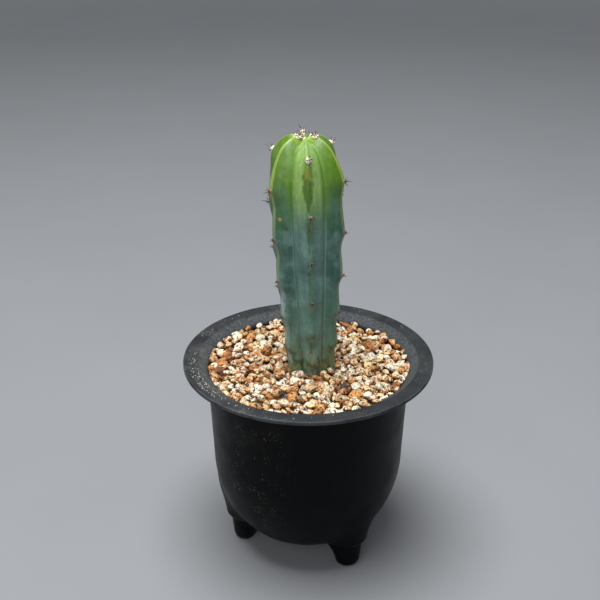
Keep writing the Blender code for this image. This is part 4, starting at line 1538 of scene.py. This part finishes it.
# each look: main colour, stain colour, stain amount, and how dark the painted shade in the pits is
stoneLooks = {
    "stone_white": ((238, 226, 200), (206, 160, 102), 0.35, 0.42),
    "stone_cream": ((232, 214, 178), (204, 150, 90), 0.45, 0.45),
    "stone_tan": ((214, 184, 138), (176, 116, 62), 0.55, 0.75),
    "stone_ochre": ((196, 136, 72), (158, 84, 34), 0.70, 0.55),
    "stone_brown": ((122, 76, 48), (92, 50, 30), 0.60, 0.50),
    "stone_red": ((166, 98, 62), (120, 62, 38), 0.45, 0.30),
    "stone_black": ((40, 42, 46), (74, 70, 66), 0.30, 0.40),
}
stoneShape = {
    "sides": 6,
    "broken": (0.62, 0.86),
    "lump": 0.30,
    "lumpSize": 0.9,
    "pit": 0.10,
    "pitSize": 0.30,
    "seed": 8,
}


def bumpTexture(name, kind, size):
    texture = bpy.data.textures.new(name, kind)
    texture.noise_scale = size
    return texture


def makeStones(porous):
    shape = stoneShape
    chance = random.Random(shape["seed"])
    lumps = bumpTexture("lumps", "CLOUDS", shape["lumpSize"])
    pits = bumpTexture("pits", "VORONOI", shape["pitSize"])
    finishes = {kind: stoneMaterial(kind, porous) for kind in stoneLooks}
    for node in stoneNodes:
        stone = startBall("stone" + node[5:], 5)
        openMesh(stone)
        breakSides(stone, chance, shape["sides"], *shape["broken"])
        closeMesh()
        shift = Vector([chance.uniform(-9, 9) for _ in range(3)])
        stone.data.transform(Matrix.Translation(shift))  # each stone takes another part of the pattern
        for texture, strength, middle in ((lumps, shape["lump"], 0.5), (pits, shape["pit"], 0.3)):
            settings = {"texture": texture, "strength": strength, "mid_level": middle}
            applyModifier(stone, "DISPLACE", texture_coords="LOCAL", **settings)
        fitToBox(stone, node)
        smoothShade(stone, 60.0)
        kind = "_".join(node.split("_")[:2])
        give(stone, frameSlot(node), finishes[kind])
        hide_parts(node)
    print("stones made", len(stoneNodes))


def frameSlot(node):
    for part in frame["record"]["subparts"]:
        if part["node"] == node:
            return part["material_slot"]


def fitToBox(piece, node):
    low, high = (np.array(corner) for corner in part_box(node))
    points = readPoints(piece)
    least, most = points.min(0), points.max(0)
    writePoints(piece, low + (points - least) / (most - least) * (high - low))


def stoneMaterial(kind, porous):
    # depth: how dark the painted shade in the pits is
    main, stain, amount, depth = stoneLooks[kind]
    surface = {
        "Color": tone(*main),
        "Stain": tone(*stain),
        "Stain Amount": amount,
        "Pit Scale": 850.0,
        "Pit Shade": depth,
    }
    material = newMaterial(kind.replace("_", ""))[0]
    return porousFinish(material, porous, surface, (0.80, 0.96), (0.0004, 0.8))


# the soil and the net keep their frame shape
soilLook = {
    "noise": (380.0, 6.0, 0.7),
    "colors": [(0.25, (24, 17, 12)), (0.5, (52, 36, 24)), (0.75, (92, 68, 46))],
    "roughness": (0.88, 1.0),
    "bump": (0.0012, 1.0),
}


def finishSoil():
    setFinish("potting_soil", grittyMaterial("pottingSoil", soilLook))


def finishNet(dust):
    material, tree = newMaterial("netPlastic")
    place = objectPlaces(tree)
    film = useGroup(tree, dust, Vector=place, Film=0.5, Specks=0.8)["Mask"]
    color = mixColor(film, (30, 32, 30), (96, 78, 58))
    rough = timesPlus(film, 0.35, 0.5, clamp=True)
    setFinish("drainage_net", finished(material, color, rough, cloud(place, 1400.0), 0.0001, 0.5))
    print("soil and net finished")


def setFinish(node, material):
    piece = frame["nodes"][node]
    if piece.material_slots:
        for slot in piece.material_slots:
            slot.material = material
    else:
        piece.data.materials.append(material)


# crumbs spilled on the flange
crumbShape = {
    "count": 230,
    "strayEvery": 7,
    "smallest": 0.00010,
    "largest": 0.00032,
    "middle": 208.0,
    "spread": 14.0,
    "innerGap": 0.0002,
    "outerGap": 0.0022,
    "seed": 4,
}
gritLook = {
    "noise": (1300.0, 3.0),
    "colors": [(0.35, (124, 120, 112)), (0.65, (206, 202, 192))],
    "roughness": (0.80, 0.95),
    "bump": (0.0001, 0.6),
}


def makeCrumbs():
    shape = crumbShape
    chance = random.Random(shape["seed"])
    pattern = startBall("crumbPattern", 1)
    openMesh(pattern)
    bpy.ops.transform.vertex_random(offset=0.25, seed=2)
    closeMesh()
    inner, outer = rimRadius - potShape["flangeFlat"] + shape["innerGap"], rimRadius - shape["outerGap"]
    crumbs = []
    for number in range(shape["count"]):
        stray = number % shape["strayEvery"] == 0
        spread = chance.uniform(-180.0, 180.0) if stray else chance.gauss(0.0, shape["spread"])
        angle = math.radians(shape["middle"] + spread)
        out = chance.uniform(inner, outer)
        radius = between(shape["smallest"], shape["largest"], chance.random() ** 3)
        place = Matrix.Translation((out * math.cos(angle), out * math.sin(angle), potTop + radius * 0.45))
        size = Matrix.Diagonal((radius, radius * 0.85, radius * 0.7, 1.0))
        turn = Matrix.Rotation(chance.uniform(0, 6), 4, "Z")
        crumbs.append(copyPiece(pattern, "crumb", place @ turn @ size))
    removePiece(pattern)
    give(joinPieces(crumbs, "flangeCrumbs"), "pumice", grittyMaterial("pumiceGrit", gritLook))
    print("crumbs laid", shape["count"])


setStage()
porous, dust, streaks = porousGroup(), dustGroup(), streakGroup()
makePot(dust, streaks)
stem = makeStem(streaks)
makeTufts(stem)
makeGravel(porous)
makeStones(porous)
finishSoil()
finishNet(dust)
makeCrumbs()
clearSelection()
